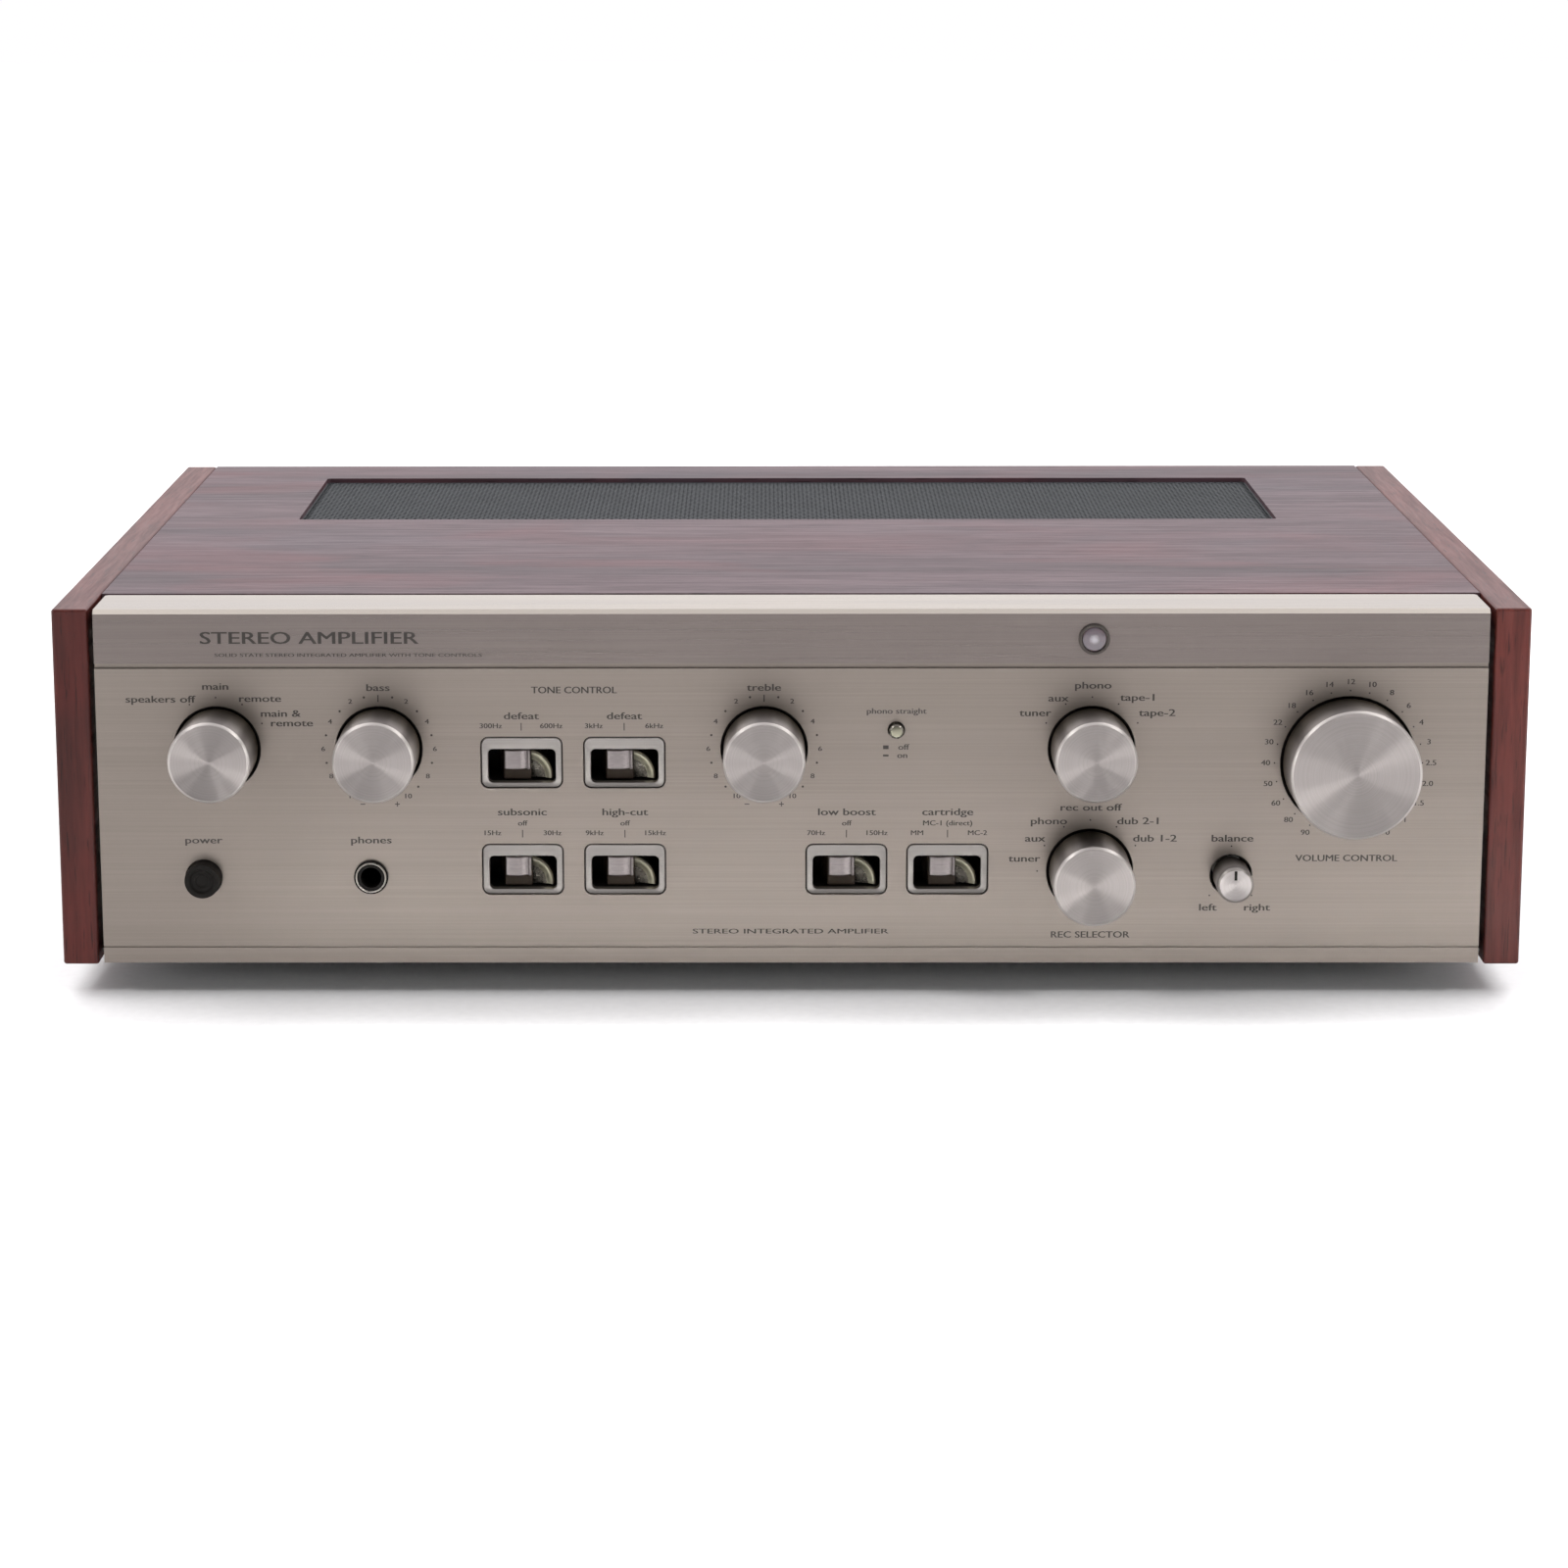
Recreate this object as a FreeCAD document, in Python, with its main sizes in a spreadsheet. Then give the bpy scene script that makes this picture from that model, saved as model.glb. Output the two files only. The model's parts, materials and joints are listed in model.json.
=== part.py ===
import FreeCAD, Part
import math
import os
import re
import Sketcher

# Integrated amplifier: wooden case, aluminium front, seven knobs, six lever switches
# and two push buttons. Millimetres, +Z up, front towards -Y, +X to the right as seen
# from the front. The origin lies on the ground, below the middle of the whole object.

os.makedirs("parts", exist_ok=True)
doc = FreeCAD.newDocument("IntegratedAmplifier")

# Driving dimensions. Names ending in _x are distances to the right of the middle, and
# names ending in _up are heights above the lower edge of the wooden cheeks.
DIMENSIONS = {
    "case_width": 453, "case_height": 112.5, "case_depth": 300, "foot_height": 10,
    "knob_reach": 22, "rear_reach": 11, "cheek_thick": 11.1, "cheek_round": 0.9,
    "board_thick": 9, "board_gap": 0.3, "board_start": 27,
    "vent_wide": 340, "vent_deep": 96, "vent_start": 173, "vent_drop": 1.6, "vent_ledge": 6,
    "mesh_thick": 1, "mesh_clearance": 0.3, "rim_gap": 0.2, "rim_thick": 1,
    "slot_long": 20, "slot_wide": 3, "slot_pitch": 24, "slot_rows": 5,
    "panel_width": 427, "panel_thick": 4, "panel_proud": 1.5, "panel_low": 1,
    "panel_top": 94.2, "tongue_top": 95.6, "gap_deep": 1.1,
    "line_up": 6.2, "line_wide": 0.6, "line_deep": 0.5,
    "rail_low": 95.8, "rail_thick": 3, "rail_reach": 24.5, "rail_bevel": 1.3,
    "sheet": 1.2, "carrier_back": 12, "carrier_thick": 1.5,
    "knob_radius": 12.5, "volume_radius": 20, "balance_radius": 5.6,
    "volume_reach": 20, "balance_reach": 15, "knob_gap": 1, "knob_bevel": 0.8,
    "spindle_radius": 3, "thin_spindle_radius": 2, "running_gap": 0.05,
    "speakers_x": -176.5, "bass_x": -126.6, "treble_x": -8.1, "selector_x": 92.5,
    "balance_x": 136.2, "volume_x": 171.5,
    "upper_up": 69, "rec_up": 30.3, "balance_up": 29, "volume_up": 64.5,
    "window_wide": 25.4, "window_tall": 16.3, "window_deep": 1.2, "window_round": 2.5,
    "opening_wide": 20.8, "opening_tall": 10.6, "opening_drop": 1.25, "opening_round": 1.5,
    "tone_lever_x": -82.75, "defeat_lever_x": -51.1, "boost_lever_x": 17.3,
    "cartridge_lever_x": 48.5, "upper_lever_up": 64.7, "lower_lever_up": 30.9,
    "lever_pivot_back": 13, "lever_drum": 7.5, "lever_tall": 9.4,
    "power_x": -181.7, "power_up": 28.2, "power_radius": 5.4, "power_reach": 6.5,
    "phono_x": 32.5, "phono_up": 74.9, "phono_radius": 2.3, "phono_reach": 4.5,
    "button_gap": 0.4, "lamp_x": 92.8, "lamp_up": 103.3, "lamp_radius": 4.8,
    "lens_radius": 3.8, "phones_x": -129.8, "phones_up": 28.5, "phones_radius": 5.3,
    "phones_bore": 3.25, "phones_length": 30,
    "foot_radius": 12, "foot_x": 165, "foot_start": 55, "foot_back": 35,
    "jack_radius": 4.15, "jack_bore": 1.7, "jack_pitch": 16, "jack_column": 19,
    "jack_x": -20, "jack_up": 62, "plate_thick": 1.6,
    "terminal_x": -186, "terminal_pitch": 17, "terminal_up": 30,
    "gland_x": 190, "gland_up": 30, "gland_bore": 3.6, "outlet_x": 128, "outlet_up": 30,
    "sink_wide": 150, "sink_tall": 68, "sink_deep": 60, "fin_pitch": 6, "fin_thick": 2,
    "core_wide": 92, "core_tall": 76, "core_deep": 46, "can_radius": 17.5, "can_tall": 72,
    "neck_radius": 4.75, "nut_radius": 7, "nut_thick": 2.5, "detent_radius": 11,
    "wafer_radius": 15, "wafer_thick": 1.6, "pot_radius": 11.5, "pot_deep": 14,
    "housing_wide": 28, "housing_tall": 14.4, "housing_deep": 25, "housing_wall": 1.2,
    "axle_radius": 1.5, "thumb_left": 5.5, "thumb_wide": 8, "thumb_tall": 5.8,
    "rib_wide": 6.2, "rib_back": 3.4, "rib_deep": 5, "post_radius": 3,
    "screw_radius": 1.5, "screw_head": 3, "head_tall": 2, "board_sheet": 1.6,
}
sheet = doc.addObject("Spreadsheet::Sheet", "Dims")
for row, (alias, number) in enumerate(DIMENSIONS.items(), start=1):
    sheet.set(f"A{row}", str(number))
    sheet.setAlias(f"A{row}", alias)
doc.recompute()

# Planes that many pieces share, as formulas of the sheet's names.
FRONT = "(knob_reach - (case_depth + knob_reach + rear_reach) / 2)"
TOP = "(foot_height + case_height)"
CHEEK_INSIDE = "(case_width / 2 - cheek_thick)"
CARRIER = f"({FRONT} + carrier_back)"
CARRIER_REAR = f"({CARRIER} + carrier_thick)"
REAR = f"({FRONT} + case_depth - 3)"
FLOOR = "(foot_height + 4.2)"

KNOBS = {
    "speakers": ("speakers_x", "upper_up", "knob_radius", "knob_reach", "spindle_radius"),
    "bass": ("bass_x", "upper_up", "knob_radius", "knob_reach", "spindle_radius"),
    "treble": ("treble_x", "upper_up", "knob_radius", "knob_reach", "spindle_radius"),
    "input": ("selector_x", "upper_up", "knob_radius", "knob_reach", "spindle_radius"),
    "rec": ("selector_x", "rec_up", "knob_radius", "knob_reach", "spindle_radius"),
    "balance": ("balance_x", "balance_up", "balance_radius", "balance_reach",
                "thin_spindle_radius"),
    "volume": ("volume_x", "volume_up", "volume_radius", "volume_reach", "spindle_radius"),
}
SWITCHED_KNOBS = ("speakers", "input", "rec")
LEVERS = {
    "bass_turnover": ("tone_lever_x", "upper_lever_up"),
    "treble_turnover": ("defeat_lever_x", "upper_lever_up"),
    "subsonic": ("tone_lever_x", "lower_lever_up"),
    "high_cut": ("defeat_lever_x", "lower_lever_up"),
    "low_boost": ("boost_lever_x", "lower_lever_up"),
    "cartridge": ("cartridge_lever_x", "lower_lever_up"),
}
# Heights and distances behind the cheeks' front where screws hold the cheeks.
SIDE_SCREWS = [(along, f"foot_height + {up}") for along in (50, 150, 250) for up in (20, 85)]
FEET = [(side, along) for side in (-1, 1) for along in ("foot_start", "case_depth - foot_back")]
JACKS = [(column, row) for column in range(8) for row in (0, 1)]

TO_FRONT = FreeCAD.Rotation(FreeCAD.Vector(1, 0, 0), 90)
TO_REAR = FreeCAD.Rotation(FreeCAD.Vector(1, 0, 0), -90)
parts = []


def sideways(side):
    """A turn that points +Z to the right, or to the left where the side is -1."""
    return FreeCAD.Rotation(FreeCAD.Vector(0, 1, 0), 90 * side)


def formula(text):
    """Turn the sheet's names in a formula into references to its cells."""
    def reference(word):
        return "Dims." + word.group() if word.group() in DIMENSIONS else word.group()
    return re.sub(r"[a-z][a-z0-9_]*", reference, str(text))


def value(text):
    """The number that a formula gives."""
    return float(sheet.evalExpression(formula(text)))


def place(item, position, rotation=None):
    """Put an object where three formulas say."""
    if rotation:
        item.Placement = FreeCAD.Placement(FreeCAD.Vector(0, 0, 0), rotation)
    for axis, text in zip("xyz", position):
        item.setExpression(f"Placement.Base.{axis}", formula(text))
    return item


def box(size, corner):
    """A box with its lowest corner at the given place."""
    item = doc.addObject("Part::Box", "Block")
    for name, text in zip(("Length", "Width", "Height"), size):
        item.setExpression(name, formula(text))
    return place(item, corner)


def rod(radius, length, start, rotation=None):
    """A cylinder that runs up from its start, or the way its rotation turns it."""
    item = doc.addObject("Part::Cylinder", "Rod")
    item.setExpression("Radius", formula(radius))
    item.setExpression("Height", formula(length))
    return place(item, start, rotation)


def fuse(items):
    """One solid made of several that meet."""
    item = doc.addObject("Part::MultiFuse", "Joined")
    item.Shapes = items
    item.Refine = True
    return item


def cut(base, tools):
    """A solid with others taken away from it."""
    item = doc.addObject("Part::Cut", "Trimmed")
    item.Base = base
    item.Tool = tools[0] if len(tools) == 1 else fuse(tools)
    return item


def gather(items):
    """Several separate solids that belong to one sub-part."""
    item = doc.addObject("Part::Compound", "Set")
    item.Links = items
    return item


def keep(item, label):
    """Name a finished sub-part."""
    item.Label = label
    parts.append(item)


def new_body(name, position, rotation=None):
    """An empty body at a place given by formulas."""
    return place(doc.addObject("PartDesign::Body", name), position, rotation)


def sketch_on(body, role):
    """A sketch on one of the body's own origin planes."""
    sketch = body.newObject("Sketcher::SketchObject", "Profile")
    plane = [item for item in body.Origin.OriginFeatures if item.Role == role][0]
    sketch.AttachmentSupport = [(plane, "")]
    sketch.MapMode = "FlatFace"
    return sketch


def tie(sketch, geometry, point, x_text, y_text):
    """Tie a sketch point to two formulas; a zero puts the point on the axis."""
    for kind, text, axis in (("DistanceX", x_text, -2), ("DistanceY", y_text, -1)):
        if text is None:
            continue
        number = value(text)
        if abs(number) < 1e-9:
            sketch.addConstraint(Sketcher.Constraint("PointOnObject", geometry, point, axis))
            continue
        index = sketch.addConstraint(Sketcher.Constraint(kind, geometry, point, number))
        sketch.setExpression(f"Constraints[{index}]", formula(text))


def polygon(sketch, corners):
    """A closed outline through corners given as pairs of formulas."""
    ends = [FreeCAD.Vector(value(x), value(y), 0) for x, y in corners]
    first = sketch.GeometryCount
    for index, end in enumerate(ends):
        sketch.addGeometry(Part.LineSegment(end, ends[(index + 1) % len(ends)]))
    for index, (x_text, y_text) in enumerate(corners):
        after = first + (index + 1) % len(ends)
        sketch.addConstraint(Sketcher.Constraint("Coincident", first + index, 2, after, 1))
        tie(sketch, first + index, 1, x_text, y_text)


def rectangle(sketch, x_low, y_low, x_high, y_high):
    """A rectangle between two corners."""
    polygon(sketch, ((x_low, y_low), (x_high, y_low), (x_high, y_high), (x_low, y_high)))


def circle(sketch, x_text, y_text, radius):
    """A circle tied to its centre and radius."""
    centre = FreeCAD.Vector(value(x_text), value(y_text), 0)
    axis = FreeCAD.Vector(0, 0, 1)
    index = sketch.addGeometry(Part.Circle(centre, axis, value(radius)))
    tie(sketch, index, 3, x_text, y_text)
    size = sketch.addConstraint(Sketcher.Constraint("Radius", index, value(radius)))
    sketch.setExpression(f"Constraints[{size}]", formula(radius))


def rounded_window(sketch, x_text, y_text, wide, tall, radius):
    """A rectangle with round corners about a centre: straight sides joined by arcs."""
    x, y, r = value(x_text), value(y_text), value(radius)
    half_x, half_y = value(wide) / 2, value(tall) / 2
    first = sketch.GeometryCount
    sides = (
        ((x - half_x + r, y - half_y), (x + half_x - r, y - half_y)),
        ((x + half_x, y - half_y + r), (x + half_x, y + half_y - r)),
        ((x + half_x - r, y + half_y), (x - half_x + r, y + half_y)),
        ((x - half_x, y + half_y - r), (x - half_x, y - half_y + r)),
    )
    for start, end in sides:
        sketch.addGeometry(Part.LineSegment(FreeCAD.Vector(*start, 0), FreeCAD.Vector(*end, 0)))
    quarter = math.pi / 2
    centres = ((1, -1, 3), (1, 1, 0), (-1, 1, 1), (-1, -1, 2))
    for right, upper, turn in centres:
        centre = FreeCAD.Vector(x + right * (half_x - r), y + upper * (half_y - r), 0)
        round_corner = Part.Circle(centre, FreeCAD.Vector(0, 0, 1), r)
        sketch.addGeometry(Part.ArcOfCircle(round_corner, turn * quarter, (turn + 1) * quarter))
    for side in range(4):
        line, corner, after = first + side, first + 4 + side, first + (side + 1) % 4
        sketch.addConstraint(Sketcher.Constraint("Tangent", line, 2, corner, 1))
        sketch.addConstraint(Sketcher.Constraint("Tangent", corner, 2, after, 1))
        sketch.addConstraint(Sketcher.Constraint("Vertical" if side % 2 else "Horizontal", line))
        size = sketch.addConstraint(Sketcher.Constraint("Radius", corner, r))
        sketch.setExpression(f"Constraints[{size}]", formula(radius))
    tie(sketch, first + 3, 1, f"{x_text} - {wide} / 2", None)
    tie(sketch, first + 1, 1, f"{x_text} + {wide} / 2", None)
    tie(sketch, first, 1, None, f"{y_text} - {tall} / 2")
    tie(sketch, first + 2, 1, None, f"{y_text} + {tall} / 2")


def pad(body, sketch, length, towards_normal=True):
    """Pull a sketch into a solid."""
    item = body.newObject("PartDesign::Pad", "Pad")
    item.Profile = sketch
    item.Reversed = not towards_normal
    item.setExpression("Length", formula(length))
    doc.recompute()


def pocket(body, sketch, depth, towards_normal):
    """Sink a sketch into the solid and make sure that it took something away."""
    before = body.Shape.Volume
    item = body.newObject("PartDesign::Pocket", "Pocket")
    item.Profile = sketch
    item.Reversed = towards_normal
    item.setExpression("Length", formula(depth))
    doc.recompute()
    if not body.Shape.Volume < before:
        raise RuntimeError(f"{body.Label}: a pocket took nothing away")


def turned(name, position, profile, rotation=TO_FRONT):
    """A body of revolution: profile pairs are a radius and a distance along the axis."""
    body = new_body(name, position, rotation)
    sketch = sketch_on(body, "XZ_Plane")
    polygon(sketch, profile)
    item = body.newObject("PartDesign::Revolution", "Turning")
    item.Profile = sketch
    item.ReferenceAxis = (sketch, ["V_Axis"])
    item.Angle = 360
    doc.recompute()
    return body


def fillet(body, radius, edges=()):
    """Round the chosen edges of the body's last feature, or all of them."""
    base = body.Tip
    item = body.newObject("PartDesign::Fillet", "Fillet")
    item.Base = (base, list(edges))
    item.UseAllEdges = not edges
    item.setExpression("Radius", formula(radius))
    doc.recompute()


def edges_where(shape, test):
    """Names of the edges that pass a test."""
    names = []
    for number, edge in enumerate(shape.Edges, start=1):
        if test(edge):
            names.append(f"Edge{number}")
    return names


# ---------------------------------------------------------------- wooden case

def cheek(label, x_text, screw_side):
    """A side board with eased edges and blind holes for the frame screws."""
    body = new_body("Board", (x_text, FRONT, "foot_height"))
    sketch = sketch_on(body, "YZ_Plane")
    rectangle(sketch, 0, 0, "case_depth", "case_height")
    pad(body, sketch, "cheek_thick")
    fillet(body, "cheek_round")
    holes = []
    for along, height in SIDE_SCREWS:
        start = CHEEK_INSIDE if screw_side > 0 else f"-{CHEEK_INSIDE}"
        centre = (start, f"{FRONT} + {along}", height)
        holes.append(rod("screw_radius", 8, centre, sideways(screw_side)))
    keep(cut(body, holes), label)


def top_panel():
    """The upper board, with the vent cut through it and a ledge below for the mesh."""
    body = new_body("top_panel", (0, f"{FRONT} + board_start", f"{TOP} - board_thick"))
    sketch = sketch_on(body, "XY_Plane")
    half = f"({CHEEK_INSIDE} - board_gap)"
    rectangle(sketch, f"-{half}", 0, half, "case_depth - board_start")
    pad(body, sketch, "board_thick")
    middle = "vent_start - board_start + vent_deep / 2"
    opening = sketch_on(body, "XY_Plane")
    rounded_window(opening, "0", middle, "vent_wide", "vent_deep", "opening_round")
    pocket(body, opening, "board_thick", True)
    rebate = sketch_on(body, "XY_Plane")
    wide, deep = "(vent_wide + 2 * vent_ledge)", "(vent_deep + 2 * vent_ledge)"
    rounded_window(rebate, "0", middle, wide, deep, "opening_round")
    pocket(body, rebate, "board_thick - vent_drop", True)
    keep(body, "top_panel")


def vent_mesh():
    """The pierced steel tray in the vent: staggered rows of slots inside an upturned rim."""
    wide = "(vent_wide + 2 * vent_ledge - 2 * mesh_clearance)"
    deep = "(vent_deep + 2 * vent_ledge - 2 * mesh_clearance)"
    level = f"({TOP} - vent_drop - mesh_thick)"
    middle = f"({FRONT} + vent_start + vent_deep / 2)"
    plate = box((wide, deep, "mesh_thick"), (f"-{wide} / 2", f"{middle} - {deep} / 2", level))
    slots = []
    rows = int(value("vent_deep / slot_rows")) - 1
    columns = int(value("vent_wide / slot_pitch"))
    for row in range(rows):
        shorter = row % 2
        for column in range(columns - shorter):
            across = f"{column} - {columns - shorter} / 2"
            x_text = f"({across}) * slot_pitch + (slot_pitch - slot_long) / 2"
            y_text = f"{middle} + ({row} - {rows} / 2) * slot_rows + (slot_rows - slot_wide) / 2"
            corner = (x_text, y_text, f"{level} - 1")
            slots.append(box(("slot_long", "slot_wide", "mesh_thick + 2"), corner))
    walls = []
    for inset in ("rim_gap", "(rim_gap + rim_thick)"):
        wide, deep = f"(vent_wide - 2 * {inset})", f"(vent_deep - 2 * {inset})"
        corner = (f"-{wide} / 2", f"{middle} - {deep} / 2", f"{level} + mesh_thick - 0.1")
        walls.append(box((wide, deep, "vent_drop - 0.1"), corner))
    rim = cut(walls[0], [walls[1]])
    keep(fuse([cut(plate, [gather(slots)]), rim]), "vent_mesh")


def mesh_screws():
    """Small pan-head wood screws that hold the mesh against its ledge from below."""
    screws = []
    level = f"({TOP} - vent_drop - mesh_thick)"
    middle = f"{FRONT} + vent_start + vent_deep / 2"
    for column in (-1, 0, 1):
        for side in (-1, 1):
            x_text = f"{column} * (vent_wide + vent_ledge) / 2"
            y_text = f"{middle} + {side} * (vent_deep + vent_ledge) / 2"
            screws.append(screw(1, "mesh_thick + 1", 2.2, 1.5, (x_text, y_text, f"{level} - 1.5")))
    keep(gather(screws), "mesh_screws")


# ---------------------------------------------------------------- aluminium front

def front_panel():
    """The front plate: a tongue along its top, openings for the levers and control holes."""
    body = new_body("front_panel", (0, f"{FRONT} - panel_proud", "foot_height"))
    outline = sketch_on(body, "XZ_Plane")
    rectangle(outline, "-panel_width / 2", "panel_low", "panel_width / 2", "tongue_top")
    pad(body, outline, "panel_thick", False)
    gap = sketch_on(body, "XZ_Plane")
    rectangle(gap, "-panel_width / 2", "panel_top", "panel_width / 2", "tongue_top")
    pocket(body, gap, "gap_deep", False)
    recesses = sketch_on(body, "XZ_Plane")
    for x_text, up in LEVERS.values():
        rounded_window(recesses, x_text, up, "window_wide", "window_tall", "window_round")
    pocket(body, recesses, "window_deep", False)
    openings = sketch_on(body, "XZ_Plane")
    for x_text, up in LEVERS.values():
        rounded_window(openings, x_text, f"({up} - opening_drop)", "opening_wide",
                       "opening_tall", "opening_round")
    pocket(body, openings, "panel_thick", False)
    holes = sketch_on(body, "XZ_Plane")
    for x_text, up, radius, _, _ in KNOBS.values():
        circle(holes, x_text, up, f"{radius} + knob_gap")
    circle(holes, "power_x", "power_up", "power_radius + button_gap")
    circle(holes, "phono_x", "phono_up", "phono_radius + button_gap")
    circle(holes, "phones_x", "phones_up", "phones_radius - 0.8")
    pocket(body, holes, "panel_thick", False)
    line = sketch_on(body, "XZ_Plane")
    rectangle(line, "-panel_width / 2", "line_up - line_wide / 2", "panel_width / 2",
              "line_up + line_wide / 2")
    pocket(body, line, "line_deep", False)
    keep(body, "front_panel")


def top_rail():
    """The angle along the top: a front strip, a bright bevel and a flat flange behind it."""
    body = new_body("Angle", ("-panel_width / 2", f"{FRONT} - panel_proud", "foot_height"))
    section = sketch_on(body, "YZ_Plane")
    back = "panel_proud + rail_reach"
    polygon(section, (
        ("0", "rail_low"), ("rail_thick", "rail_low"),
        ("rail_thick", "case_height - rail_thick"), (back, "case_height - rail_thick"),
        (back, "case_height"), ("rail_bevel", "case_height"),
        ("0", "case_height - rail_bevel")))
    pad(body, section, "panel_width")
    back_y = value(back) + body.Placement.Base.y
    thick = value("rail_thick")

    def is_back_corner(edge):
        return abs(edge.CenterOfMass.y - back_y) < 0.01 and abs(edge.BoundBox.ZLength - thick) < 0.01

    fillet(body, "opening_round", edges_where(body.Shape, is_back_corner))
    hole = rod("lamp_radius - 0.5", "rail_thick + 2",
               ("lamp_x", f"{FRONT} - panel_proud - 1", "foot_height + lamp_up"), TO_REAR)
    keep(cut(body, [hole]), "top_rail")


def pilot_lamp():
    """The pale lens in its metal ring, pressed into the rail."""
    centre = ("lamp_x", f"{FRONT} - panel_proud", "foot_height + lamp_up")
    ring = turned("pilot_lamp_ring", centre, (
        ("lens_radius", -6), ("lamp_radius - 0.5", -6), ("lamp_radius - 0.5", 0),
        ("lamp_radius", 0), ("lamp_radius", 0.7), ("lamp_radius - 0.3", 1), ("lens_radius", 1)))
    keep(ring, "pilot_lamp_ring")
    lens = turned("pilot_lamp_lens", centre, (
        (0, -14), (2.5, -14), (2.5, -6), ("lens_radius", -6), ("lens_radius", 0.4),
        ("lens_radius - 1", 0.8), (0, 1)))
    keep(lens, "pilot_lamp_lens")


def headphone_jack():
    """A 6.35 mm socket: black barrel and box behind the plate, ring nut in front of it."""
    start = ("phones_x", f"{FRONT} - panel_proud", "foot_height + phones_up")
    mouth = f"{FRONT} - panel_proud - 1.2"
    barrel = rod("phones_radius - 1", 13.2, ("phones_x", mouth, start[2]), TO_REAR)
    case = box((16, 26, 14), ("phones_x - 8", f"{FRONT} + 4", "foot_height + phones_up - 7"))
    bore = rod("phones_bore", "phones_length", ("phones_x", f"{mouth} - 1", start[2]), TO_REAR)
    keep(cut(fuse([barrel, case]), [bore]), "headphone_jack")
    nut = turned("headphone_nut", start, (
        ("phones_radius - 1", 0), ("phones_radius", 0), ("phones_radius", 1.2),
        ("phones_radius - 0.5", 1.7), ("phones_radius - 1", 1.7)))
    keep(nut, "headphone_nut")


# ---------------------------------------------------------------- knobs and controls

def knob(name, x_text, up, radius, reach, spindle):
    """A solid turned knob with a bevelled rim and a blind bore for its spindle."""
    profile = (
        (spindle, 0.5), (radius, 0.5), (radius, f"{reach} - knob_bevel"),
        (f"{radius} - knob_bevel", reach), (0, reach), (0, f"{reach} - 6"),
        (spindle, f"{reach} - 6"))
    body = turned(f"{name}_knob", (x_text, FRONT, f"foot_height + {up}"), profile)
    keep(body, f"{name}_knob")
    shaft = turned(f"{name}_spindle", (x_text, FRONT, f"foot_height + {up}"), (
        (0, "-carrier_back - 6"), (spindle, "-carrier_back - 6"),
        (spindle, f"{reach} - 6.5"), (f"{spindle} - 0.5", f"{reach} - 6"),
        (0, f"{reach} - 6")))
    keep(shaft, f"{name}_spindle")


def bushed_case(x_text, up, spindle, pieces):
    """Join a control's pieces with its threaded neck and bore the neck for the spindle."""
    height = f"foot_height + {up}"
    neck = rod("neck_radius", 7, (x_text, f"{CARRIER_REAR} - 6.5", height), TO_REAR)
    start = (x_text, f"{CARRIER_REAR} - 7.5", height)
    bore = rod(f"{spindle} + running_gap", 13, start, TO_REAR)
    return cut(fuse([neck] + pieces), [bore])


def rotary_switch(x_text, up, spindle):
    """A detent box followed by two wafers on a pair of tie rods."""
    height = f"foot_height + {up}"
    pieces = [rod("detent_radius", 7, (x_text, CARRIER_REAR, height), TO_REAR)]
    for back in (14, 24):
        start = (x_text, f"{CARRIER_REAR} + {back}", height)
        pieces.append(rod("wafer_radius", "wafer_thick", start, TO_REAR))
    for side, radius in ((0, 3), (-1, 1.5), (1, 1.5)):
        start = (f"{x_text} + {side} * 9", f"{CARRIER_REAR} + 6.9", height)
        pieces.append(rod(radius, 27, start, TO_REAR))
    return bushed_case(x_text, up, spindle, pieces)


def potentiometer(x_text, up, spindle):
    """A round can with three solder tags below."""
    height = f"foot_height + {up}"
    pieces = [rod("pot_radius", "pot_deep", (x_text, CARRIER_REAR, height), TO_REAR)]
    for tag in (-1, 0, 1):
        corner = (f"{x_text} + {tag} * 5 - 1", f"{CARRIER_REAR} + 2", f"{height} - 16")
        pieces.append(box((2, 1, 8), corner))
    return bushed_case(x_text, up, spindle, pieces)


def controls():
    """Switches and potentiometers behind the carrier plate, with their ring nuts."""
    switches, pots, nuts = [], [], []
    for name, (x_text, up, _, _, spindle) in KNOBS.items():
        if name in SWITCHED_KNOBS:
            switches.append(rotary_switch(x_text, up, spindle))
        else:
            pots.append(potentiometer(x_text, up, spindle))
        start = (x_text, f"{CARRIER} - nut_thick", f"foot_height + {up}")
        ring = rod("nut_radius", "nut_thick", start, TO_REAR)
        nuts.append(cut(ring, [rod("neck_radius", "nut_thick", start, TO_REAR)]))
    keep(gather(switches), "rotary_switches")
    keep(gather(pots), "potentiometers")
    keep(gather(nuts), "control_nuts")


# ---------------------------------------------------------------- levers and buttons

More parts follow.
